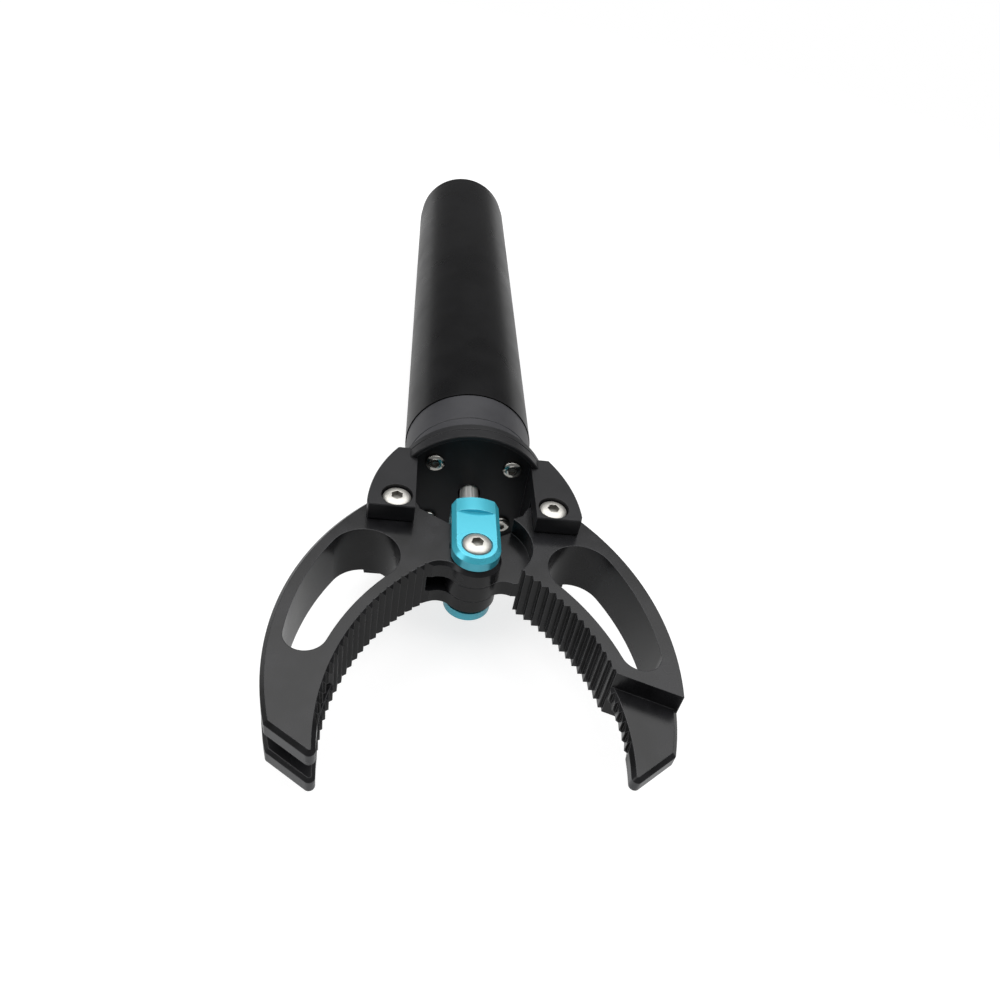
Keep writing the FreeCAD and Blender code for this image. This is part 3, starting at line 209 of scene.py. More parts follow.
def edge_wear_and_highlight_share(tree: Tree, rounded: Socket) -> Socket:
    """How worn and how painted-highlit a place is: nought on a face or in a corner, and one on a
    sharp outer edge.

    Args:
        tree: The material's tree.
        rounded: The normal that a bevel node gives the rounded edges.

    Returns:
        The socket that carries the share.
    """
    face = add_node(tree, "ShaderNodeNewGeometry")
    agree = add_node(
        tree,
        "ShaderNodeVectorMath",
        {0: rounded, 1: face.outputs["Normal"]},
        operation="DOT_PRODUCT",
    )
    edge = add_node(
        tree, "ShaderNodeMapRange", {"Value": agree.outputs["Value"], **EDGE_AGREEMENT}
    )
    # Neither wear nor the painted edge highlight reaches inside a corner, where the nearest faces
    # shut out part of the sky.
    sky = add_node(
        tree,
        "ShaderNodeAmbientOcclusion",
        {"Distance": CORNER_REACH},
        samples=SKY_SAMPLES,
        only_local=True,
    )
    outer = add_node(
        tree, "ShaderNodeMapRange", {"Value": sky.outputs["AO"], **OPEN_SKY}
    )
    share = add_node(
        tree,
        "ShaderNodeMath",
        {0: edge.outputs["Result"], 1: outer.outputs["Result"]},
        operation="MULTIPLY",
    )
    return share.outputs["Value"]


@dataclass(frozen=True)
class AnodisedAluminium:
    """Machined aluminium, blasted and anodised: a dense satin colour with brighter edges, partly
    wear and partly a painted highlight.
    """

    name: str
    colour: str
    smudge: str
    edge_wear_and_highlight_colour: str
    roughness: float
    metallic: float = 0.0
    specular: float = 0.5
    coat: float = 0.0
    grit_mm: float = 0.3
    grit_depth_mm: float = 0.004
    patch_mm: float = 14.0
    edge_mm: float = 0.2
    rubbed_from_mm: Optional[float] = None
    rubbed_colour: str = "#4a4b4e"

    def material(self) -> Material:
        """Build the material.

        Returns:
            The finished material.
        """
        material, tree = new_material(self.name)
        place = add_node(tree, "ShaderNodeTexCoord").outputs["Object"]
        # Blasting grit is about 0.1 mm. It is drawn coarser, to show at the photo's distance.
        grit = add_node(
            tree,
            "ShaderNodeTexNoise",
            {"Vector": place, "Scale": per_metre(self.grit_mm), "Detail": 2.0, "Roughness": 0.6},
        )
        patches = add_node(
            tree,
            "ShaderNodeTexNoise",
            {"Vector": place, "Scale": per_metre(self.patch_mm), "Detail": 3.0, "Roughness": 0.55},
        ).outputs["Fac"]
        gloss = add_node(
            tree,
            "ShaderNodeMapRange",
            {
                "Value": patches,
                **NOISE_RANGE,
                "To Min": self.roughness - PATCH_SPREAD,
                "To Max": self.roughness + PATCH_SPREAD,
            },
        )
        rounded = add_node(
            tree, "ShaderNodeBevel", {"Radius": self.edge_mm * MM}, samples=EDGE_SAMPLES
        ).outputs["Normal"]
        bump = add_node(
            tree,
            "ShaderNodeBump",
            {
                "Strength": GRIT_STRENGTH,
                "Distance": self.grit_depth_mm * MM,
                "Height": grit.outputs["Fac"],
                "Normal": rounded,
            },
        )
        shader = add_node(
            tree,
            "ShaderNodeBsdfPrincipled",
            {
                "Base Color": self.worn_and_highlit_colour(tree, place, patches, rounded),
                "Metallic": self.metallic,
                "Specular IOR Level": self.specular,
                "Coat Weight": self.coat,
                "Coat Roughness": self.roughness,
                "Roughness": gloss.outputs["Result"],
                "Normal": bump.outputs["Normal"],
            },
        )
        add_node(tree, "ShaderNodeOutputMaterial", {"Surface": shader.outputs["BSDF"]})
        return material

    def worn_and_highlit_colour(self, tree: Tree, place: Socket, patches: Socket, rounded: Socket) -> Socket:
        """Lay smudges, worn edges with their painted edge highlight, and rubbed faces over the dye.

        Args:
            tree: The material's tree.
            place: The socket of Object coordinates.
            patches: The socket of the patchy noise.
            rounded: The normal that a bevel node gives the rounded edges.

        Returns:
            The socket that carries the colour.
        """
        handled = add_node(
            tree, "ShaderNodeMapRange", {"Value": patches, **SMUDGE_RANGE}
        ).outputs["Result"]
        # The edge layer is partly wear and partly a painted highlight on outer edges.
        layers = [(handled, self.smudge), (edge_wear_and_highlight_share(tree, rounded), self.edge_wear_and_highlight_colour)]
        if self.rubbed_from_mm is not None:
            layers.append((self.rubbed_share(tree, place), self.rubbed_colour))
        colour: Union[Colour, Socket] = linear(self.colour)
        for share, over in layers:
            mixed = add_node(
                tree,
                "ShaderNodeMix",
                {MIX_SHARE: share, COLOUR_A: colour, COLOUR_B: linear(over)},
                data_type="RGBA",
            )
            colour = mixed.outputs[MIXED_COLOUR]
        return colour

    def rubbed_share(self, tree: Tree, place: Socket) -> Socket:
        """How far upright faces near the tips are rubbed bright by what the jaws grip.

        Args:
            tree: The material's tree.
            place: The socket of Object coordinates.

        Returns:
            The socket that carries the share.
        """
        along = add_node(tree, "ShaderNodeSeparateXYZ", {0: place})
        near_tip = add_node(
            tree,
            "ShaderNodeMapRange",
            {
                "Value": along.outputs["Y"],
                "From Min": self.rubbed_from_mm * MM,
                "From Max": (self.rubbed_from_mm - RUB_FADE_MM) * MM,
            },
        )
        face = add_node(tree, "ShaderNodeNewGeometry")
        lean = add_node(tree, "ShaderNodeSeparateXYZ", {0: face.outputs["True Normal"]})
        tilt = add_node(tree, "ShaderNodeMath", {0: lean.outputs["Z"]}, operation="ABSOLUTE")
        upright = add_node(
            tree, "ShaderNodeMapRange", {"Value": tilt.outputs["Value"], **UPRIGHT_RANGE}
        )
        share = add_node(
            tree,
            "ShaderNodeMath",
            {0: near_tip.outputs["Result"], 1: upright.outputs["Result"]},
            operation="MULTIPLY",
        )
        return share.outputs["Value"]


@dataclass(frozen=True)
class Metal:
    """Bare metal: turned, ground or polished, with fine marks round or along the piece."""

    name: str
    colour: str
    shade: str
    roughness: float
    mark_mm: Spot
    mark_depth_mm: float = 0.0015
    metallic: float = 1.0
    streak: float = 0.0

    def material(self) -> Material:
        """Build the material.

        Returns:
            The finished material.
        """
        material, tree = new_material(self.name)
        place = add_node(tree, "ShaderNodeTexCoord").outputs["Object"]
        # Grinding marks are a few hundredths of a millimetre. They are drawn coarser, to show. On
        # the rod their pale and dark colour streaks are painted reflection streaks.
        scale = [per_metre(size) for size in self.mark_mm]
        stretched = add_node(tree, "ShaderNodeMapping", {"Vector": place, "Scale": scale})
        marks = add_node(
            tree,
            "ShaderNodeTexNoise",
            {"Vector": stretched.outputs["Vector"], "Scale": 1.0, "Detail": 3.0},
        ).outputs["Fac"]
        dull = add_node(
            tree, "ShaderNodeMapRange", {"Value": marks, **NOISE_RANGE}
        ).outputs["Result"]
        gloss = add_node(
            tree,
            "ShaderNodeMapRange",
            {
                "Value": dull,
                "To Min": self.roughness * (1.0 - MARK_SPREAD),
                "To Max": self.roughness * (1.0 + MARK_SPREAD),
            },
        )
        # On the rod this mix of colour and shade paints reflection streaks.
        colour = add_node(
            tree,
            "ShaderNodeMix",
            {MIX_SHARE: dull, COLOUR_A: linear(self.colour), COLOUR_B: linear(self.shade)},
            data_type="RGBA",
        )
        bump = add_node(
            tree,
            "ShaderNodeBump",
            {"Strength": MARK_STRENGTH, "Distance": self.mark_depth_mm * MM, "Height": marks},
        )
        shader = add_node(
            tree,
            "ShaderNodeBsdfPrincipled",
            {
                "Base Color": colour.outputs[MIXED_COLOUR],
                "Metallic": self.metallic,
                "Roughness": gloss.outputs["Result"],
                "Normal": bump.outputs["Normal"],
            },
        )
        if self.streak:
            around = add_node(tree, "ShaderNodeTangent", direction_type="RADIAL", axis="Y")
            tree.links.new(around.outputs["Tangent"], shader.inputs["Tangent"])
            shader.inputs["Anisotropic"].default_value = self.streak
            shader.inputs["Anisotropic Rotation"].default_value = STREAK_TURN
        add_node(tree, "ShaderNodeOutputMaterial", {"Surface": shader.outputs["BSDF"]})
        return material


@dataclass(frozen=True)
class Moulded:
    """Moulded plastic, rubber or laminate: an even colour under a faint pebbled skin."""

    name: str
    colour: str
    shade: str
    roughness: float
    pebble_mm: float = 0.6
    pebble_depth_mm: float = 0.006

    def material(self) -> Material:
        """Build the material.

        Returns:
            The finished material.
        """
        material, tree = new_material(self.name)
        place = add_node(tree, "ShaderNodeTexCoord").outputs["Object"]
        pebbles = add_node(
            tree,
            "ShaderNodeTexNoise",
            {"Vector": place, "Scale": per_metre(self.pebble_mm), "Detail": 3.0},
        ).outputs["Fac"]
        colour = add_node(
            tree,
            "ShaderNodeMix",
            {MIX_SHARE: pebbles, COLOUR_A: linear(self.colour), COLOUR_B: linear(self.shade)},
            data_type="RGBA",
        )
        bump = add_node(
            tree,
            "ShaderNodeBump",
            {
                "Strength": PEBBLE_STRENGTH,
                "Distance": self.pebble_depth_mm * MM,
                "Height": pebbles,
            },
        )
        shader = add_node(
            tree,
            "ShaderNodeBsdfPrincipled",
            {
                "Base Color": colour.outputs[MIXED_COLOUR],
                "Roughness": self.roughness,
                "Normal": bump.outputs["Normal"],
            },
        )
        add_node(tree, "ShaderNodeOutputMaterial", {"Surface": shader.outputs["BSDF"]})
        return material


# Tube, rear cap and gland: almost black, and only the soft reflections on it show its shape
BLACK_ANODISED = AnodisedAluminium(
    name="black_anodised_aluminium",
    colour="#121213",
    smudge="#171718",
    edge_wear_and_highlight_colour="#323233",
    roughness=0.3,
    specular=0.1,
    grit_depth_mm=0.0015,
)
# Front cap: coarsely blasted under the dye, so its bare band is matt and greyer than the tube
MATT_ANODISED = AnodisedAluminium(
    name="matt_grey_anodised_aluminium",
    colour="#37373a",
    smudge="#3d3d40",
    edge_wear_and_highlight_colour="#4c4c4f",
    roughness=0.45,
    specular=0.32,
)
# Bracket: blasted black that takes an even grey light on top and stays dark between its arms
BLASTED_ANODISED = AnodisedAluminium(
    name="blasted_black_anodised_aluminium",
    colour="#18181a",
    smudge="#1e1e20",
    edge_wear_and_highlight_colour="#363638",
    roughness=0.4,
    specular=0.32,
)
# Jaws: smooth dark grey with a soft sheen, smudged by handling, with pale rubbed tip faces
GREY_ANODISED = AnodisedAluminium(
    name="dark_grey_anodised_aluminium",
    colour="#0a0a0b",
    smudge="#212123",
    # The pale edge colour is partly wear and partly a painted highlight on the teeth's edges.
    edge_wear_and_highlight_colour="#48484a",
    roughness=0.24,
    specular=0.35,
    edge_mm=0.3,
    rubbed_from_mm=-200.0,
)
# Clevis: deep cyan dye under a clear sealed skin, with a metal sheen and crisp bevels lightened by
# a painted edge highlight
BLUE_ANODISED = AnodisedAluminium(
    name="bright_blue_anodised_aluminium",
    colour="#4ac9e0",
    smudge="#48c5dc",
    edge_wear_and_highlight_colour="#86dff0",
    roughness=0.26,
    metallic=0.45,
    coat=0.7,
    grit_depth_mm=0.0,
)
# Turned pieces inside the tube: pale, with fine rings
BARE_ALUMINIUM = Metal(
    name="turned_aluminium",
    colour="#d4d4d5",
    shade="#c2c2c3",
    roughness=0.35,
    mark_mm=(0.8, 0.05, 0.8),
)
# Screw heads: soft, slightly warm and milky silver without sharp reflections
SCREW_STEEL = Metal(
    name="stainless_screw_steel",
    colour="#d2d0ca",
    shade="#c8c6c0",
    roughness=0.4,
    mark_mm=(0.25, 0.25, 0.25),
    metallic=0.8,
)
# Bracket screw heads: brighter than the rest, so they mirror the dark bracket round them
BRIGHT_STEEL = Metal(
    name="bright_screw_steel",
    colour="#d2d0ca",
    shade="#c8c6c0",
    roughness=0.16,
    mark_mm=(0.25, 0.25, 0.25),
)
# Hexagon sockets: punched rough, with a darker colour that paints shade inside them
SOCKET_STEEL_PAINTED_SHADE = Metal(
    name="punched_socket_steel_painted_shade",
    colour="#a5a39e",
    shade="#7d7b77",
    roughness=0.45,
    mark_mm=(0.15, 0.15, 0.15),
)
# Push rod: ground round and round, so its reflections stretch into streaks along its length, and
# its pale and dark colour streaks are painted reflection streaks
ROD_STEEL = Metal(
    name="ground_stainless_rod_painted_streaks",
    colour="#f8f7f4",
    shade="#b2b1ad",
    roughness=0.7,
    mark_mm=(0.6, 15.0, 0.6),
    metallic=0.6,
    streak=0.95,
)
# Motor and gearbox: plain grey plating
MOTOR_STEEL = Metal(
    name="plated_motor_steel",
    colour="#aeaeae",
    shade="#a2a2a2",
    roughness=0.3,
    mark_mm=(1.5, 0.1, 1.5),
)
# Lead nut: brown-gold, with turning rings
BRONZE = Metal(
    name="turned_bronze",
    colour="#bd8f4a",
    shade="#b0823e",
    roughness=0.3,
    mark_mm=(0.8, 0.06, 0.8),
)
# Standoffs: yellow-gold
BRASS = Metal(
    name="turned_brass",
    colour="#d3b662",
    shade="#c9aa55",
    roughness=0.25,
    mark_mm=(0.8, 0.06, 0.8),
)
# Seals: dull black
SEAL_RUBBER = Moulded("nitrile_rubber", colour="#121212", shade="#1c1c1c", roughness=0.6)
# Bushings and the nut guide: off-white and waxy
BEARING_PLASTIC = Moulded(
    "acetal_bearing_plastic", colour="#dedbd2", shade="#cbc8be", roughness=0.4
)
# Motor end bell and board parts: matt black
DARK_PLASTIC = Moulded("black_moulded_plastic", colour="#151515", shade="#1f1f1f", roughness=0.5)
# Control board: green under a clear coat
BOARD_LAMINATE = Moulded("green_board_laminate", colour="#0f5a2a", shade="#0b4720", roughness=0.3)


@dataclass(frozen=True)
class ButtonScrew:
    """Sizes of one button-head screw, in millimetres."""

    head: float
    high: float
    shank: float
    length: float
    socket: float


class ScrewTree:
    """Geometry Nodes tree that stands a button-head screw on every point of a mesh."""

    # Lathe profile from the shank's end to the crown: shares of the head's and the shank's
    # radius, then shares of the head's height and the shank's length.
    PROFILE = (
        (0.0, 0.0, 0.0, -1.0),
        (0.0, 0.8, 0.0, -1.0),
        (0.0, 1.0, 0.2, -1.0),
        (0.0, 1.0, 0.0, 0.0),
        (0.97, 0.0, 0.0, 0.0),
        (1.0, 0.0, 0.04, 0.0),
        (1.0, 0.0, 0.54, 0.0),
        (0.985, 0.0, 0.62, 0.0),
        (0.94, 0.0, 0.71, 0.0),
        (0.85, 0.0, 0.82, 0.0),
        (0.72, 0.0, 0.92, 0.0),
        (0.56, 0.0, 1.0, 0.0),
        (0.0, 0.0, 1.0, 0.0),
    )
    AROUND = 48
    MERGE_REACH = 0.001 * MM
    # Sides of the socket, and its depth as a share of the head's height.
    SOCKET_SIDES = 6
    SOCKET_DEPTH = 0.55
    # Sharpest bend, in radians, that is still shaded smooth.
    CREASE = 0.6
    SOCKET_MARK = "in_socket"
    # A face in the socket lies under this share of the head's height, and over its seat.
    UNDER_CROWN = 0.98
    OVER_SEAT = 0.1 * MM

    def __init__(self) -> None:
        """Build the tree with its named inputs."""
        self.tree = bpy.data.node_groups.new("button_screws", "GeometryNodeTree")
        self.sockets: dict[ScrewInput, str] = {}
        face = self.tree.interface
        face.new_socket("Seats", in_out="INPUT", socket_type="NodeSocketGeometry")
        kinds = {
            ScrewInput.TURN: "NodeSocketVector",
            ScrewInput.SEED: "NodeSocketInt",
            ScrewInput.MATERIAL: "NodeSocketMaterial",
            ScrewInput.SOCKET_MATERIAL: "NodeSocketMaterial",
        }
        for entry in ScrewInput:
            kind = kinds.get(entry, "NodeSocketFloat")
            socket = face.new_socket(entry.value, in_out="INPUT", socket_type=kind)
            self.sockets[entry] = socket.identifier
        face.new_socket("Screws", in_out="OUTPUT", socket_type="NodeSocketGeometry")
        self.inlet = add_node(self.tree, "NodeGroupInput")
        self.stand_on_seats(self.mark_socket(self.cut_socket(self.turn_blank())))

    def given(self, entry: ScrewInput) -> Socket:
        """The socket inside the tree that carries an input."""
        return self.inlet.outputs[entry.value]

    def turn_blank(self) -> Socket:
        """Turn the screw's profile about its axis.

        Returns:
            The socket that carries the closed blank.
        """
        tree = self.tree
        across = add_node(
            tree,
            "ShaderNodeCombineXYZ",
            {"X": self.given(ScrewInput.HEAD), "Y": self.given(ScrewInput.SHANK)},
        )
        along = add_node(
            tree,
            "ShaderNodeCombineXYZ",
            {"X": self.given(ScrewInput.HIGH), "Y": self.given(ScrewInput.LENGTH)},
        )
        last_row = len(self.PROFILE) - 1
        grid = add_node(
            tree,
            "GeometryNodeMeshGrid",
            {
                "Size X": FULL_TURN,
                "Size Y": float(last_row),
                "Vertices X": self.AROUND + 1,
                "Vertices Y": last_row + 1,
            },
        )
        place = add_node(tree, "GeometryNodeInputPosition")
        cell = add_node(tree, "ShaderNodeSeparateXYZ", {0: place.outputs[0]})
        shifted = add_node(
            tree, "ShaderNodeMath", {0: cell.outputs["Y"], 1: last_row / 2.0}, operation="ADD"
        )
        row = add_node(
            tree, "FunctionNodeFloatToInt", {0: shifted.outputs["Value"]}, rounding_mode="ROUND"
        )
        profile = add_node(tree, "GeometryNodeIndexSwitch", data_type="VECTOR")
        while len(profile.index_switch_items) <= last_row:
            profile.index_switch_items.new()
        tree.links.new(row.outputs[0], profile.inputs[0])
        for index, (head, shank, high, length) in enumerate(self.PROFILE, start=1):
            radius = add_node(
                tree,
                "ShaderNodeVectorMath",
                {0: across.outputs[0], 1: (head, shank, 0.0)},
                operation="DOT_PRODUCT",
            )
            height = add_node(
                tree,
                "ShaderNodeVectorMath",
                {0: along.outputs[0], 1: (high, length, 0.0)},
                operation="DOT_PRODUCT",
            )
            corner = add_node(
                tree,
                "ShaderNodeCombineXYZ",
                {"X": radius.outputs["Value"], "Z": height.outputs["Value"]},
            )
            tree.links.new(corner.outputs[0], profile.inputs[index])
        turned = add_node(
            tree,
            "ShaderNodeVectorRotate",
            {"Vector": profile.outputs[0], "Angle": cell.outputs["X"]},
            rotation_type="Z_AXIS",
        )
        lathe = add_node(
            tree,
            "GeometryNodeSetPosition",
            {"Geometry": grid.outputs["Mesh"], "Position": turned.outputs[0]},
        )
        closed = add_node(
            tree,
            "GeometryNodeMergeByDistance",
            {"Geometry": lathe.outputs["Geometry"], "Distance": self.MERGE_REACH},
        )
        return closed.outputs["Geometry"]

    def cut_socket(self, blank: Socket) -> Socket:
        """Cut the hexagon socket and shade the dome smooth between its sharp edges.

        Args:
            blank: The socket that carries the turned blank.

        Returns:
            The socket that carries one shaded screw.
        """
        tree = self.tree
        high = self.given(ScrewInput.HIGH)
        # Half of the key stands over the crown.
        depth = add_node(
            tree, "ShaderNodeMath", {0: high, 1: self.SOCKET_DEPTH * 2.0}, operation="MULTIPLY"
        )
        key = add_node(
            tree,
            "GeometryNodeMeshCylinder",
            {
                "Vertices": self.SOCKET_SIDES,
                "Radius": self.given(ScrewInput.SOCKET),
                "Depth": depth.outputs["Value"],
            },
        )
        lift = add_node(tree, "ShaderNodeCombineXYZ", {"Z": high})
        raised = add_node(
            tree,
            "GeometryNodeTransform",
            {"Geometry": key.outputs["Mesh"], "Translation": lift.outputs[0]},
        )
        cut = add_node(
            tree,
            "GeometryNodeMeshBoolean",
            {"Mesh 1": blank, "Mesh 2": raised.outputs["Geometry"]},
            operation="DIFFERENCE",
        )
        smooth = add_node(
            tree,
            "GeometryNodeSetShadeSmooth",
            {0: cut.outputs["Mesh"], "Shade Smooth": True},
            domain="FACE",
        )
        bend = add_node(tree, "GeometryNodeInputMeshEdgeAngle")
        sharp = add_node(
            tree,
            "ShaderNodeMath",
            {0: bend.outputs["Unsigned Angle"], 1: self.CREASE},
            operation="GREATER_THAN",
        )
        creased = add_node(
            tree,
            "GeometryNodeSetShadeSmooth",
            {0: smooth.outputs[0], "Selection": sharp.outputs["Value"], "Shade Smooth": False},
            domain="EDGE",
        )
        return creased.outputs[0]

    def mark_socket(self, screw: Socket) -> Socket:
        """Mark the faces inside the socket, so that they can wear their own darker material of
        painted shade.

        Args:
            screw: The socket that carries one shaded screw.

        Returns:
            The socket that carries the marked screw.
        """
        tree = self.tree
        place = add_node(tree, "GeometryNodeInputPosition")
        middle = add_node(tree, "ShaderNodeSeparateXYZ", {0: place.outputs[0]})
        flat = add_node(
            tree, "ShaderNodeCombineXYZ", {"X": middle.outputs["X"], "Y": middle.outputs["Y"]}
        )
        reach = add_node(tree, "ShaderNodeVectorMath", {0: flat.outputs[0]}, operation="LENGTH")
        crown = add_node(
            tree,
            "ShaderNodeMath",
            {0: self.given(ScrewInput.HIGH), 1: self.UNDER_CROWN},
            operation="MULTIPLY",
        )
        tests = (
            (reach.outputs["Value"], self.given(ScrewInput.SOCKET), "LESS_THAN"),
            (middle.outputs["Z"], crown.outputs["Value"], "LESS_THAN"),
            (middle.outputs["Z"], self.OVER_SEAT, "GREATER_THAN"),
        )
        share: Union[float, Socket] = 1.0
        for value, limit, operation in tests:
            passed = add_node(tree, "ShaderNodeMath", {0: value, 1: limit}, operation=operation)
            both = add_node(
                tree, "ShaderNodeMath", {0: share, 1: passed.outputs[0]}, operation="MULTIPLY"
            )
            share = both.outputs["Value"]
        marked = add_node(
            tree,
            "GeometryNodeStoreNamedAttribute",
            {"Geometry": screw, "Name": self.SOCKET_MARK, "Value": share},
            data_type="BOOLEAN",
            domain="FACE",
        )
        return marked.outputs["Geometry"]

    def stand_on_seats(self, screw: Socket) -> None:
        """Stand the screw on every seat, each tightened to its own angle, and finish the tree.

        Args:
            screw: The socket that carries one marked screw.
        """
        tree = self.tree
        standing = add_node(
            tree,
            "GeometryNodeInstanceOnPoints",
            {
                "Points": self.inlet.outputs["Seats"],
                "Instance": screw,
                "Rotation": self.given(ScrewInput.TURN),
            },
        )
        chance = add_node(
            tree,
            "FunctionNodeRandomValue",
            {
                RANDOM_LOW: 0.0,
                RANDOM_HIGH: FULL_TURN / self.SOCKET_SIDES,
                "Seed": self.given(ScrewInput.SEED),
            },
            data_type="FLOAT",
        )
        angle = add_node(tree, "ShaderNodeCombineXYZ", {"Z": chance.outputs[RANDOM_NUMBER]})
        tightened = add_node(
            tree,
            "GeometryNodeRotateInstances",
            {"Instances": standing.outputs["Instances"], "Rotation": angle.outputs[0]},
        )
        real = add_node(
            tree, "GeometryNodeRealizeInstances", {"Geometry": tightened.outputs["Instances"]}
        )
        bright = add_node(
            tree,
            "GeometryNodeSetMaterial",
            {"Geometry": real.outputs["Geometry"], "Material": self.given(ScrewInput.MATERIAL)},
        )
        inside = add_node(
            tree, "GeometryNodeInputNamedAttribute", {"Name": self.SOCKET_MARK}, data_type="BOOLEAN"
        )
        dressed = add_node(
            tree,
            "GeometryNodeSetMaterial",
            {
                "Geometry": bright.outputs["Geometry"],
                "Selection": inside.outputs["Attribute"],
                "Material": self.given(ScrewInput.SOCKET_MATERIAL),
            },
        )
        add_node(tree, "NodeGroupOutput", {"Screws": dressed.outputs["Geometry"]})


class Workshop:
    """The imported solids, the finishes made so far and the screw tree."""

    def __init__(self, frame: dict[str, Any]) -> None:
        """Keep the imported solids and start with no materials.
        """
        self.nodes: dict[str, bpy.types.Object] = frame["nodes"]
        self.screw_tree = ScrewTree()
        self.made: dict[Finish, Material] = {}

    def material(self, finish: Finish) -> Material:
        """Make a finish's material once.

        Args:
            finish: The finish that is wanted.

        Returns:
            Its material.
        """
        if finish not in self.made:
            self.made[finish] = finish.material()
        return self.made[finish]

    def dress(self, finish: Finish, *names: str) -> None:
        """Give carried-over solids a finish.

        Args:
            finish: The finish that they wear.
            *names: The solids' names.
        """
        for name in names:
            materials = self.nodes[name].data.materials
            materials.clear()
            materials.append(self.material(finish))
            log.info("dressed %s in %s", name, self.material(finish).name)

    def stand_screws(
        self,
        node: str,
        body: Body,
        screw: ButtonScrew,
        facing: Facing,
        seats: Iterable[Spot],
        seed: int,
        finish: Metal = SCREW_STEEL,
    ) -> bpy.types.Object:
        """Make the screws that stand for a plain solid.

        Args:
            node: The solid that they stand for.
            body: The body that they ride on.
            screw: Their sizes.
            facing: Which way their heads look.
            seats: Where their heads sit, in millimetres.
            seed: Seed of the angles that they are tightened to.
            finish: What their heads wear.

        Returns:
            One mesh object with all of them.
        """
        points = bpy.data.meshes.new(f"{node}_seats")
        points.from_pydata([tuple(size * MM for size in seat) for seat in seats], [], [])
        piece = bpy.data.objects.new(f"{node}_turned", points)
        bpy.context.scene.collection.objects.link(piece)
        modifier = piece.modifiers.new("screws", "NODES")
        modifier.node_group = self.screw_tree.tree
        values = {
            ScrewInput.HEAD: screw.head * MM,
            ScrewInput.HIGH: screw.high * MM,
            ScrewInput.SHANK: screw.shank * MM,
            ScrewInput.LENGTH: screw.length * MM,
            ScrewInput.SOCKET: screw.socket * MM,
            ScrewInput.TURN: facing.value,
            ScrewInput.SEED: seed,
            ScrewInput.MATERIAL: self.material(finish),
            # The socket's darker colour is painted shade.
            ScrewInput.SOCKET_MATERIAL: self.material(SOCKET_STEEL_PAINTED_SHADE),
        }
        for entry, value in values.items():
            modifier[self.screw_tree.sockets[entry]] = value
        graph = bpy.context.evaluated_depsgraph_get()
        mesh = bpy.data.meshes.new_from_object(piece.evaluated_get(graph))
        piece.modifiers.remove(modifier)
        piece.data = mesh
        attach(piece, body.value)
        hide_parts(node)
        log.info("made %s with %d faces", piece.name, len(mesh.polygons))
        return piece


@dataclass
class TubeBody:
    """Sealed tube with its end caps, rod seals and the cable gland."""

    black_pieces: tuple[str, ...] = ("body_tube", "rear_end_cap", "cable_gland")
    rubber_pieces: tuple[str, ...] = (
        "front_cap_o_rings",
        "rear_cap_o_rings",
        "gland_o_ring",
        "rod_wiper",
        "rod_seal",
    )

    def dress(self, shop: Workshop) -> None:
        """Give the tube's pieces their finishes.

        Args:
            shop: The workshop that holds the pieces.
        """
        shop.dress(BLACK_ANODISED, *self.black_pieces)
        shop.dress(MATT_ANODISED, "front_end_cap")
        shop.dress(SEAL_RUBBER, *self.rubber_pieces)
        shop.dress(BEARING_PLASTIC, "rod_bushing")
        shop.dress(SCREW_STEEL, "gland_nut")


@dataclass
class Bracket:
    """Jaw bracket with the screws that hold it and the screws that the jaws turn on."""

    plate_front: float = -113.4
    plate_screw_across: float = 11.3
    plate_screw_up: float = 11.0
    plate_screw: ButtonScrew = ButtonScrew(
        head=2.85, high=1.65, shank=1.5, length=12.0, socket=1.2
    )
    plate_seed: int = 3
    pivot_across: float = 21.5
    pivot_along: float = -132.15
    pivot_seat: float = 10.9
    pivot_screw: ButtonScrew = ButtonScrew(
        head=3.85, high=2.2, shank=2.0, length=23.7, socket=1.7
    )
    pivot_seed: int = 5

    def build(self, shop: Workshop) -> None:
        """Make the button-head screws.

        Args:
            shop: The workshop that makes them.
        """
        across = self.plate_screw_across
        up = self.plate_screw_up
        seats = [(x, self.plate_front, z) for x in (-across, across) for z in (-up, up)]
        shop.stand_screws(
            "bracket_screws",
            Body.HOUSING,
            self.plate_screw,
            Facing.FORWARD,
            seats,
            self.plate_seed,
            BRIGHT_STEEL,
        )
        across = self.pivot_across
        pivots = [(x, self.pivot_along, self.pivot_seat) for x in (-across, across)]
        shop.stand_screws(
            "pivot_screws", Body.HOUSING, self.pivot_screw, Facing.UP, pivots, self.pivot_seed
        )

    def dress(self, shop: Workshop) -> None:
        """Give the bracket and its bushings their finishes."""
        shop.dress(BLASTED_ANODISED, "jaw_bracket")
        shop.dress(BEARING_PLASTIC, "pivot_bushings")


@dataclass
class Jaws:
    """The forked left jaw and the tongued right jaw."""

    pieces: tuple[str, str] = ("left_jaw", "right_jaw")

    def dress(self, shop: Workshop) -> None:
        """Give both jaws their finish."""
        shop.dress(GREY_ANODISED, *self.pieces)


@dataclass
class RodAndClevis:
    """Ground push rod, blue clevis and the screw that carries the jaws' tabs."""

    pin_along: float = -147.45
    pin_seat: float = 10.55
    pin_screw: ButtonScrew = ButtonScrew(
        head=3.85, high=2.2, shank=2.0, length=21.95, socket=1.7
    )
    pin_seed: int = 2

    def build(self, shop: Workshop) -> None:
        """Make the clevis screw.

        Args:
            shop: The workshop that makes it.
        """
        seat = (0.0, self.pin_along, self.pin_seat)
        shop.stand_screws(
            "clevis_screw", Body.ROD, self.pin_screw, Facing.UP, [seat], self.pin_seed
        )

    def dress(self, shop: Workshop) -> None:
        """Give the rod's pieces their finishes.

        Args:
            shop: The workshop that holds the pieces.
        """
        shop.dress(ROD_STEEL, "push_rod")
        shop.dress(BLUE_ANODISED, "clevis")
        shop.dress(BEARING_PLASTIC, "clevis_sleeve")
        shop.dress(BARE_ALUMINIUM, "nut_carrier")
        shop.dress(BRONZE, "lead_nut")


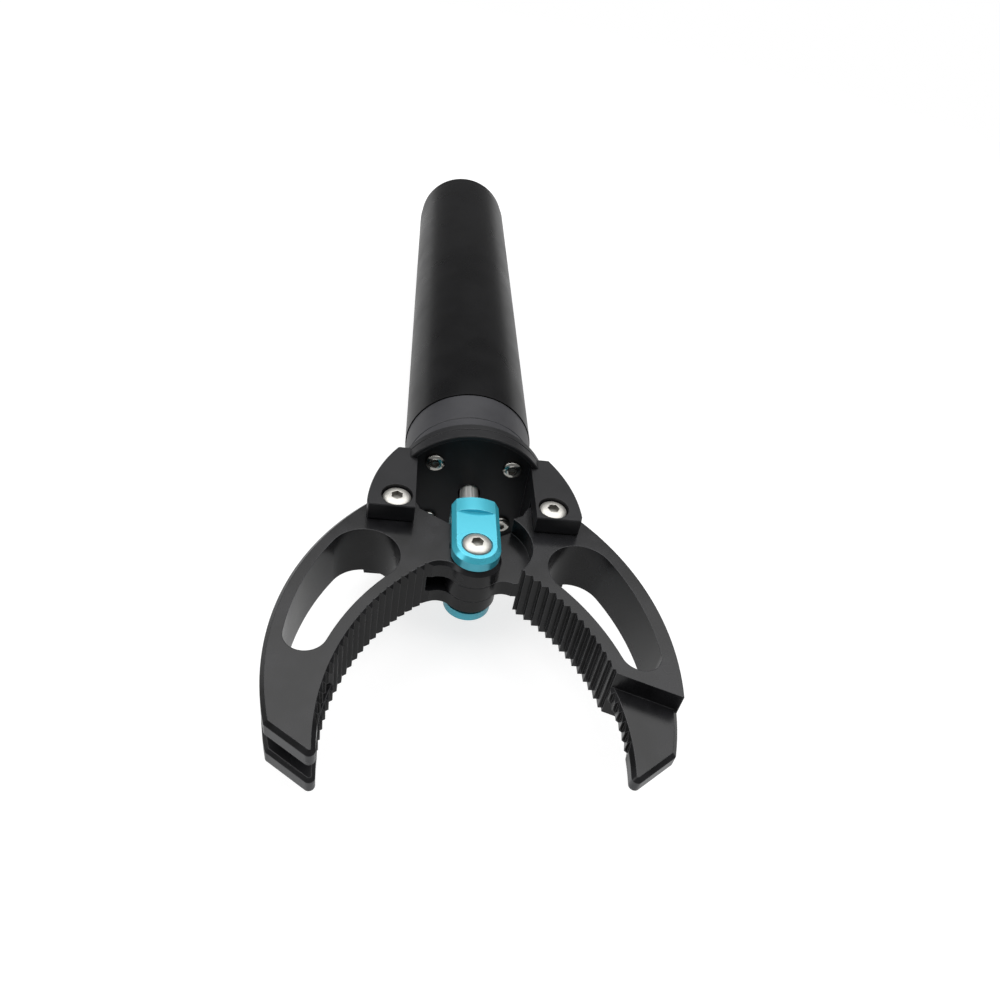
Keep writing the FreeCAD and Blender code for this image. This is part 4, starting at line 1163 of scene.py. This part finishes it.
@dataclass
class Drive:
    """Lead screw, motor, gearbox and control board inside the tube."""

    plate_front: float = -2.0
    ring: float = 6.3
    ring_count: int = 4
    screw: ButtonScrew = ButtonScrew(head=1.7, high=1.4, shank=1.0, length=7.5, socket=0.7)
    seed: int = 7
    finishes: dict[Finish, tuple[str, ...]] = field(
        default_factory=lambda: {
            BEARING_PLASTIC: ("nut_guide",),
            SCREW_STEEL: (
                "lead_screw",
                "thrust_bearing",
                "coupling_set_screws",
                "gearbox_shaft",
            ),
            BARE_ALUMINIUM: ("shaft_coupling", "motor_mount"),
            MOTOR_STEEL: ("gearbox", "motor_can"),
            DARK_PLASTIC: ("motor_end_bell", "board_components"),
            BOARD_LAMINATE: ("control_board",),
            BRASS: ("board_standoffs",),
        }
    )

    def build(self, shop: Workshop) -> None:
        """Make the gearbox screws.

        Args:
            shop: The workshop that makes them.
        """
        seats = []
        for index in range(self.ring_count):
            angle = FULL_TURN * (index + 0.5) / self.ring_count
            x, z = self.ring * math.cos(angle), self.ring * math.sin(angle)
            seats.append((x, self.plate_front, z))
        shop.stand_screws(
            "gearbox_screws", Body.HOUSING, self.screw, Facing.FORWARD, seats, self.seed
        )

    def dress(self, shop: Workshop) -> None:
        """Give the drive's pieces their finishes."""
        for finish, names in self.finishes.items():
            shop.dress(finish, *names)


def background_rays(tree: Tree) -> Socket:
    """Pick out the rays that see the white background.

    Args:
        tree: A material's or the world's tree.

    Returns:
        A socket that is one for camera, glossy and transmission rays, and nought for the rest.
    """
    path = add_node(tree, "ShaderNodeLightPath")
    share = path.outputs["Is Camera Ray"]
    for kind in ("Is Glossy Ray", "Is Transmission Ray"):
        both = add_node(
            tree, "ShaderNodeMath", {0: share, 1: path.outputs[kind]}, operation="MAXIMUM"
        )
        share = both.outputs["Value"]
    return share


@dataclass(frozen=True)
class Softbox:
    """A soft lamp, in metres. A radiance of one is a white face."""

    name: str
    place: Spot
    target: Spot
    size: tuple[float, float]
    radiance: float

    def hang(self) -> None:
        """Hang the lamp and turn it to what it looks at."""
        lamp = bpy.data.lights.new(self.name, "AREA")
        lamp.shape = "RECTANGLE"
        lamp.size, lamp.size_y = self.size
        lamp.energy = self.radiance * math.pi * lamp.size * lamp.size_y
        holder = bpy.data.objects.new(self.name, lamp)
        holder.location = self.place
        aim = Vector(self.target) - Vector(self.place)
        holder.rotation_mode = "QUATERNION"
        holder.rotation_quaternion = aim.to_track_quat("-Z", "Y")
        bpy.context.scene.collection.objects.link(holder)


@dataclass
class Studio:
    """Pale floor, soft light from above and a camera at the photo's angle."""

    floor_z: float = -22.9 * MM
    floor_half: float = 4.0
    floor_paper: str = "#a2a2a2"
    floor_glow: float = 0.77
    mirrored_glow: float = 0.385
    floor_fade_from: float = 0.35
    floor_fade_to: float = 0.8
    lens_mm: float = 29.08
    sensor_mm: float = 36.0
    clip: tuple[float, float] = (0.01, 50.0)
    camera_at: Spot = (-23.739 * MM, -297.976 * MM, 155.689 * MM)
    camera_right: Spot = (0.986858, -0.046967, 0.154614)
    camera_up: Spot = (-0.086416, 0.655111, 0.750574)
    fill: float = 0.25
    horizon: float = 0.2
    overhead: Spot = (0.0, 0.35, 0.937)
    overhead_edge: float = 0.85
    overhead_core: float = 0.98
    lamps: tuple[Softbox, ...] = (
        Softbox("overhead_softbox", (0.0, 0.125, 1.0), (0.0, 0.125, 0.0), (2.0, 1.45), 1.9),
        Softbox("left_softbox", (-0.85, -0.3, 0.6), (0.0, -0.15, 0.0), (0.5, 0.5), 1.6),
    )

    def build(self) -> None:
        """Make the floor, the world, the lamps and the camera."""
        self.build_floor()
        self.build_world()
        for lamp in self.lamps:
            lamp.hang()
        self.build_camera()
        bpy.context.scene.view_settings.view_transform = "Standard"

    def build_floor(self) -> None:
        """Lay a plain pale floor that keeps the object's shadow."""
        mesh = bpy.data.meshes.new("floor")
        half = self.floor_half
        corners = [(-half, -half), (half, -half), (half, half), (-half, half)]
        mesh.from_pydata([(x, y, self.floor_z) for x, y in corners], [], [(0, 1, 2, 3)])
        floor = bpy.data.objects.new("floor", mesh)
        bpy.context.scene.collection.objects.link(floor)
        mesh.materials.append(self.floor_material())

    def floor_material(self) -> Material:
        """Paper that glows to the camera and in reflections, and fades to white far away.

        Returns:
            The finished material.
        """
        material, tree = new_material("pale_studio_paper")
        paper = add_node(tree, "ShaderNodeBsdfDiffuse", {"Color": linear(self.floor_paper)})
        path = add_node(tree, "ShaderNodeLightPath")
        dimmer = add_node(
            tree,
            "ShaderNodeMix",
            {
                MIX_SHARE: path.outputs["Is Glossy Ray"],
                NUMBER_A: self.floor_glow,
                NUMBER_B: self.mirrored_glow,
            },
        )
        glow = add_node(
            tree,
            "ShaderNodeEmission",
            {"Color": WHITE, "Strength": dimmer.outputs[MIXED_NUMBER]},
        )
        near = add_node(
            tree, "ShaderNodeAddShader", {0: paper.outputs["BSDF"], 1: glow.outputs["Emission"]}
        )
        far = add_node(tree, "ShaderNodeEmission", {"Color": WHITE, "Strength": 1.0})
        place = add_node(tree, "ShaderNodeTexCoord").outputs["Object"]
        reach = add_node(tree, "ShaderNodeVectorMath", {0: place}, operation="LENGTH")
        fade = add_node(
            tree,
            "ShaderNodeMapRange",
            {
                "Value": reach.outputs["Value"],
                "From Min": self.floor_fade_from,
                "From Max": self.floor_fade_to,
            },
        )
        seen = add_node(
            tree,
            "ShaderNodeMixShader",
            {0: fade.outputs["Result"], 1: near.outputs["Shader"], 2: far.outputs["Emission"]},
        )
        mixed = add_node(
            tree,
            "ShaderNodeMixShader",
            {0: background_rays(tree), 1: paper.outputs["BSDF"], 2: seen.outputs["Shader"]},
        )
        add_node(tree, "ShaderNodeOutputMaterial", {"Surface": mixed.outputs["Shader"]})
        return material

    def build_world(self) -> None:
        """White to the camera. Reflections see white overhead, fading to a dim horizon."""
        world = bpy.data.worlds.new("studio")
        world.use_nodes = True
        tree = world.node_tree
        tree.nodes.clear()
        towards = add_node(tree, "ShaderNodeTexCoord").outputs["Generated"]
        near_top = add_node(
            tree, "ShaderNodeVectorMath", {0: towards, 1: self.overhead}, operation="DOT_PRODUCT"
        )
        tent = add_node(
            tree,
            "ShaderNodeMapRange",
            {
                "Value": near_top.outputs["Value"],
                "From Min": self.overhead_edge,
                "From Max": self.overhead_core,
                "To Min": self.horizon,
                "To Max": 1.0,
            },
        )
        path = add_node(tree, "ShaderNodeLightPath")
        mirrored = add_node(
            tree,
            "ShaderNodeMix",
            {
                MIX_SHARE: path.outputs["Is Glossy Ray"],
                NUMBER_A: 1.0,
                NUMBER_B: tent.outputs["Result"],
            },
        )
        strength = add_node(
            tree,
            "ShaderNodeMix",
            {
                MIX_SHARE: background_rays(tree),
                NUMBER_A: self.fill,
                NUMBER_B: mirrored.outputs[MIXED_NUMBER],
            },
        )
        light = add_node(
            tree,
            "ShaderNodeBackground",
            {"Color": WHITE, "Strength": strength.outputs[MIXED_NUMBER]},
        )
        add_node(tree, "ShaderNodeOutputWorld", {"Surface": light.outputs["Background"]})
        bpy.context.scene.world = world

    def build_camera(self) -> None:
        """Put the camera where the photo was taken from."""
        camera = bpy.data.cameras.new("photo_camera")
        camera.lens = self.lens_mm
        camera.sensor_width = self.sensor_mm
        camera.clip_start, camera.clip_end = self.clip
        holder = bpy.data.objects.new("photo_camera", camera)
        right = Vector(self.camera_right)
        up = Vector(self.camera_up)
        back = right.cross(up)
        turn = Matrix((right, up, back)).transposed().to_4x4()
        holder.matrix_world = Matrix.Translation(self.camera_at) @ turn
        bpy.context.scene.collection.objects.link(holder)
        bpy.context.scene.camera = holder


def main() -> None:
    """Load the frame, build and dress the sub-assemblies and set up the studio."""
    logging.basicConfig(level=logging.INFO, format="%(name)s: %(message)s")
    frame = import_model()
    shop = Workshop(frame)
    for assembly in (Bracket(), RodAndClevis(), Drive()):
        assembly.build(shop)
    for assembly in (TubeBody(), Bracket(), Jaws(), RodAndClevis(), Drive()):
        assembly.dress(shop)
    Studio().build()


if __name__ == "__main__":
    main()
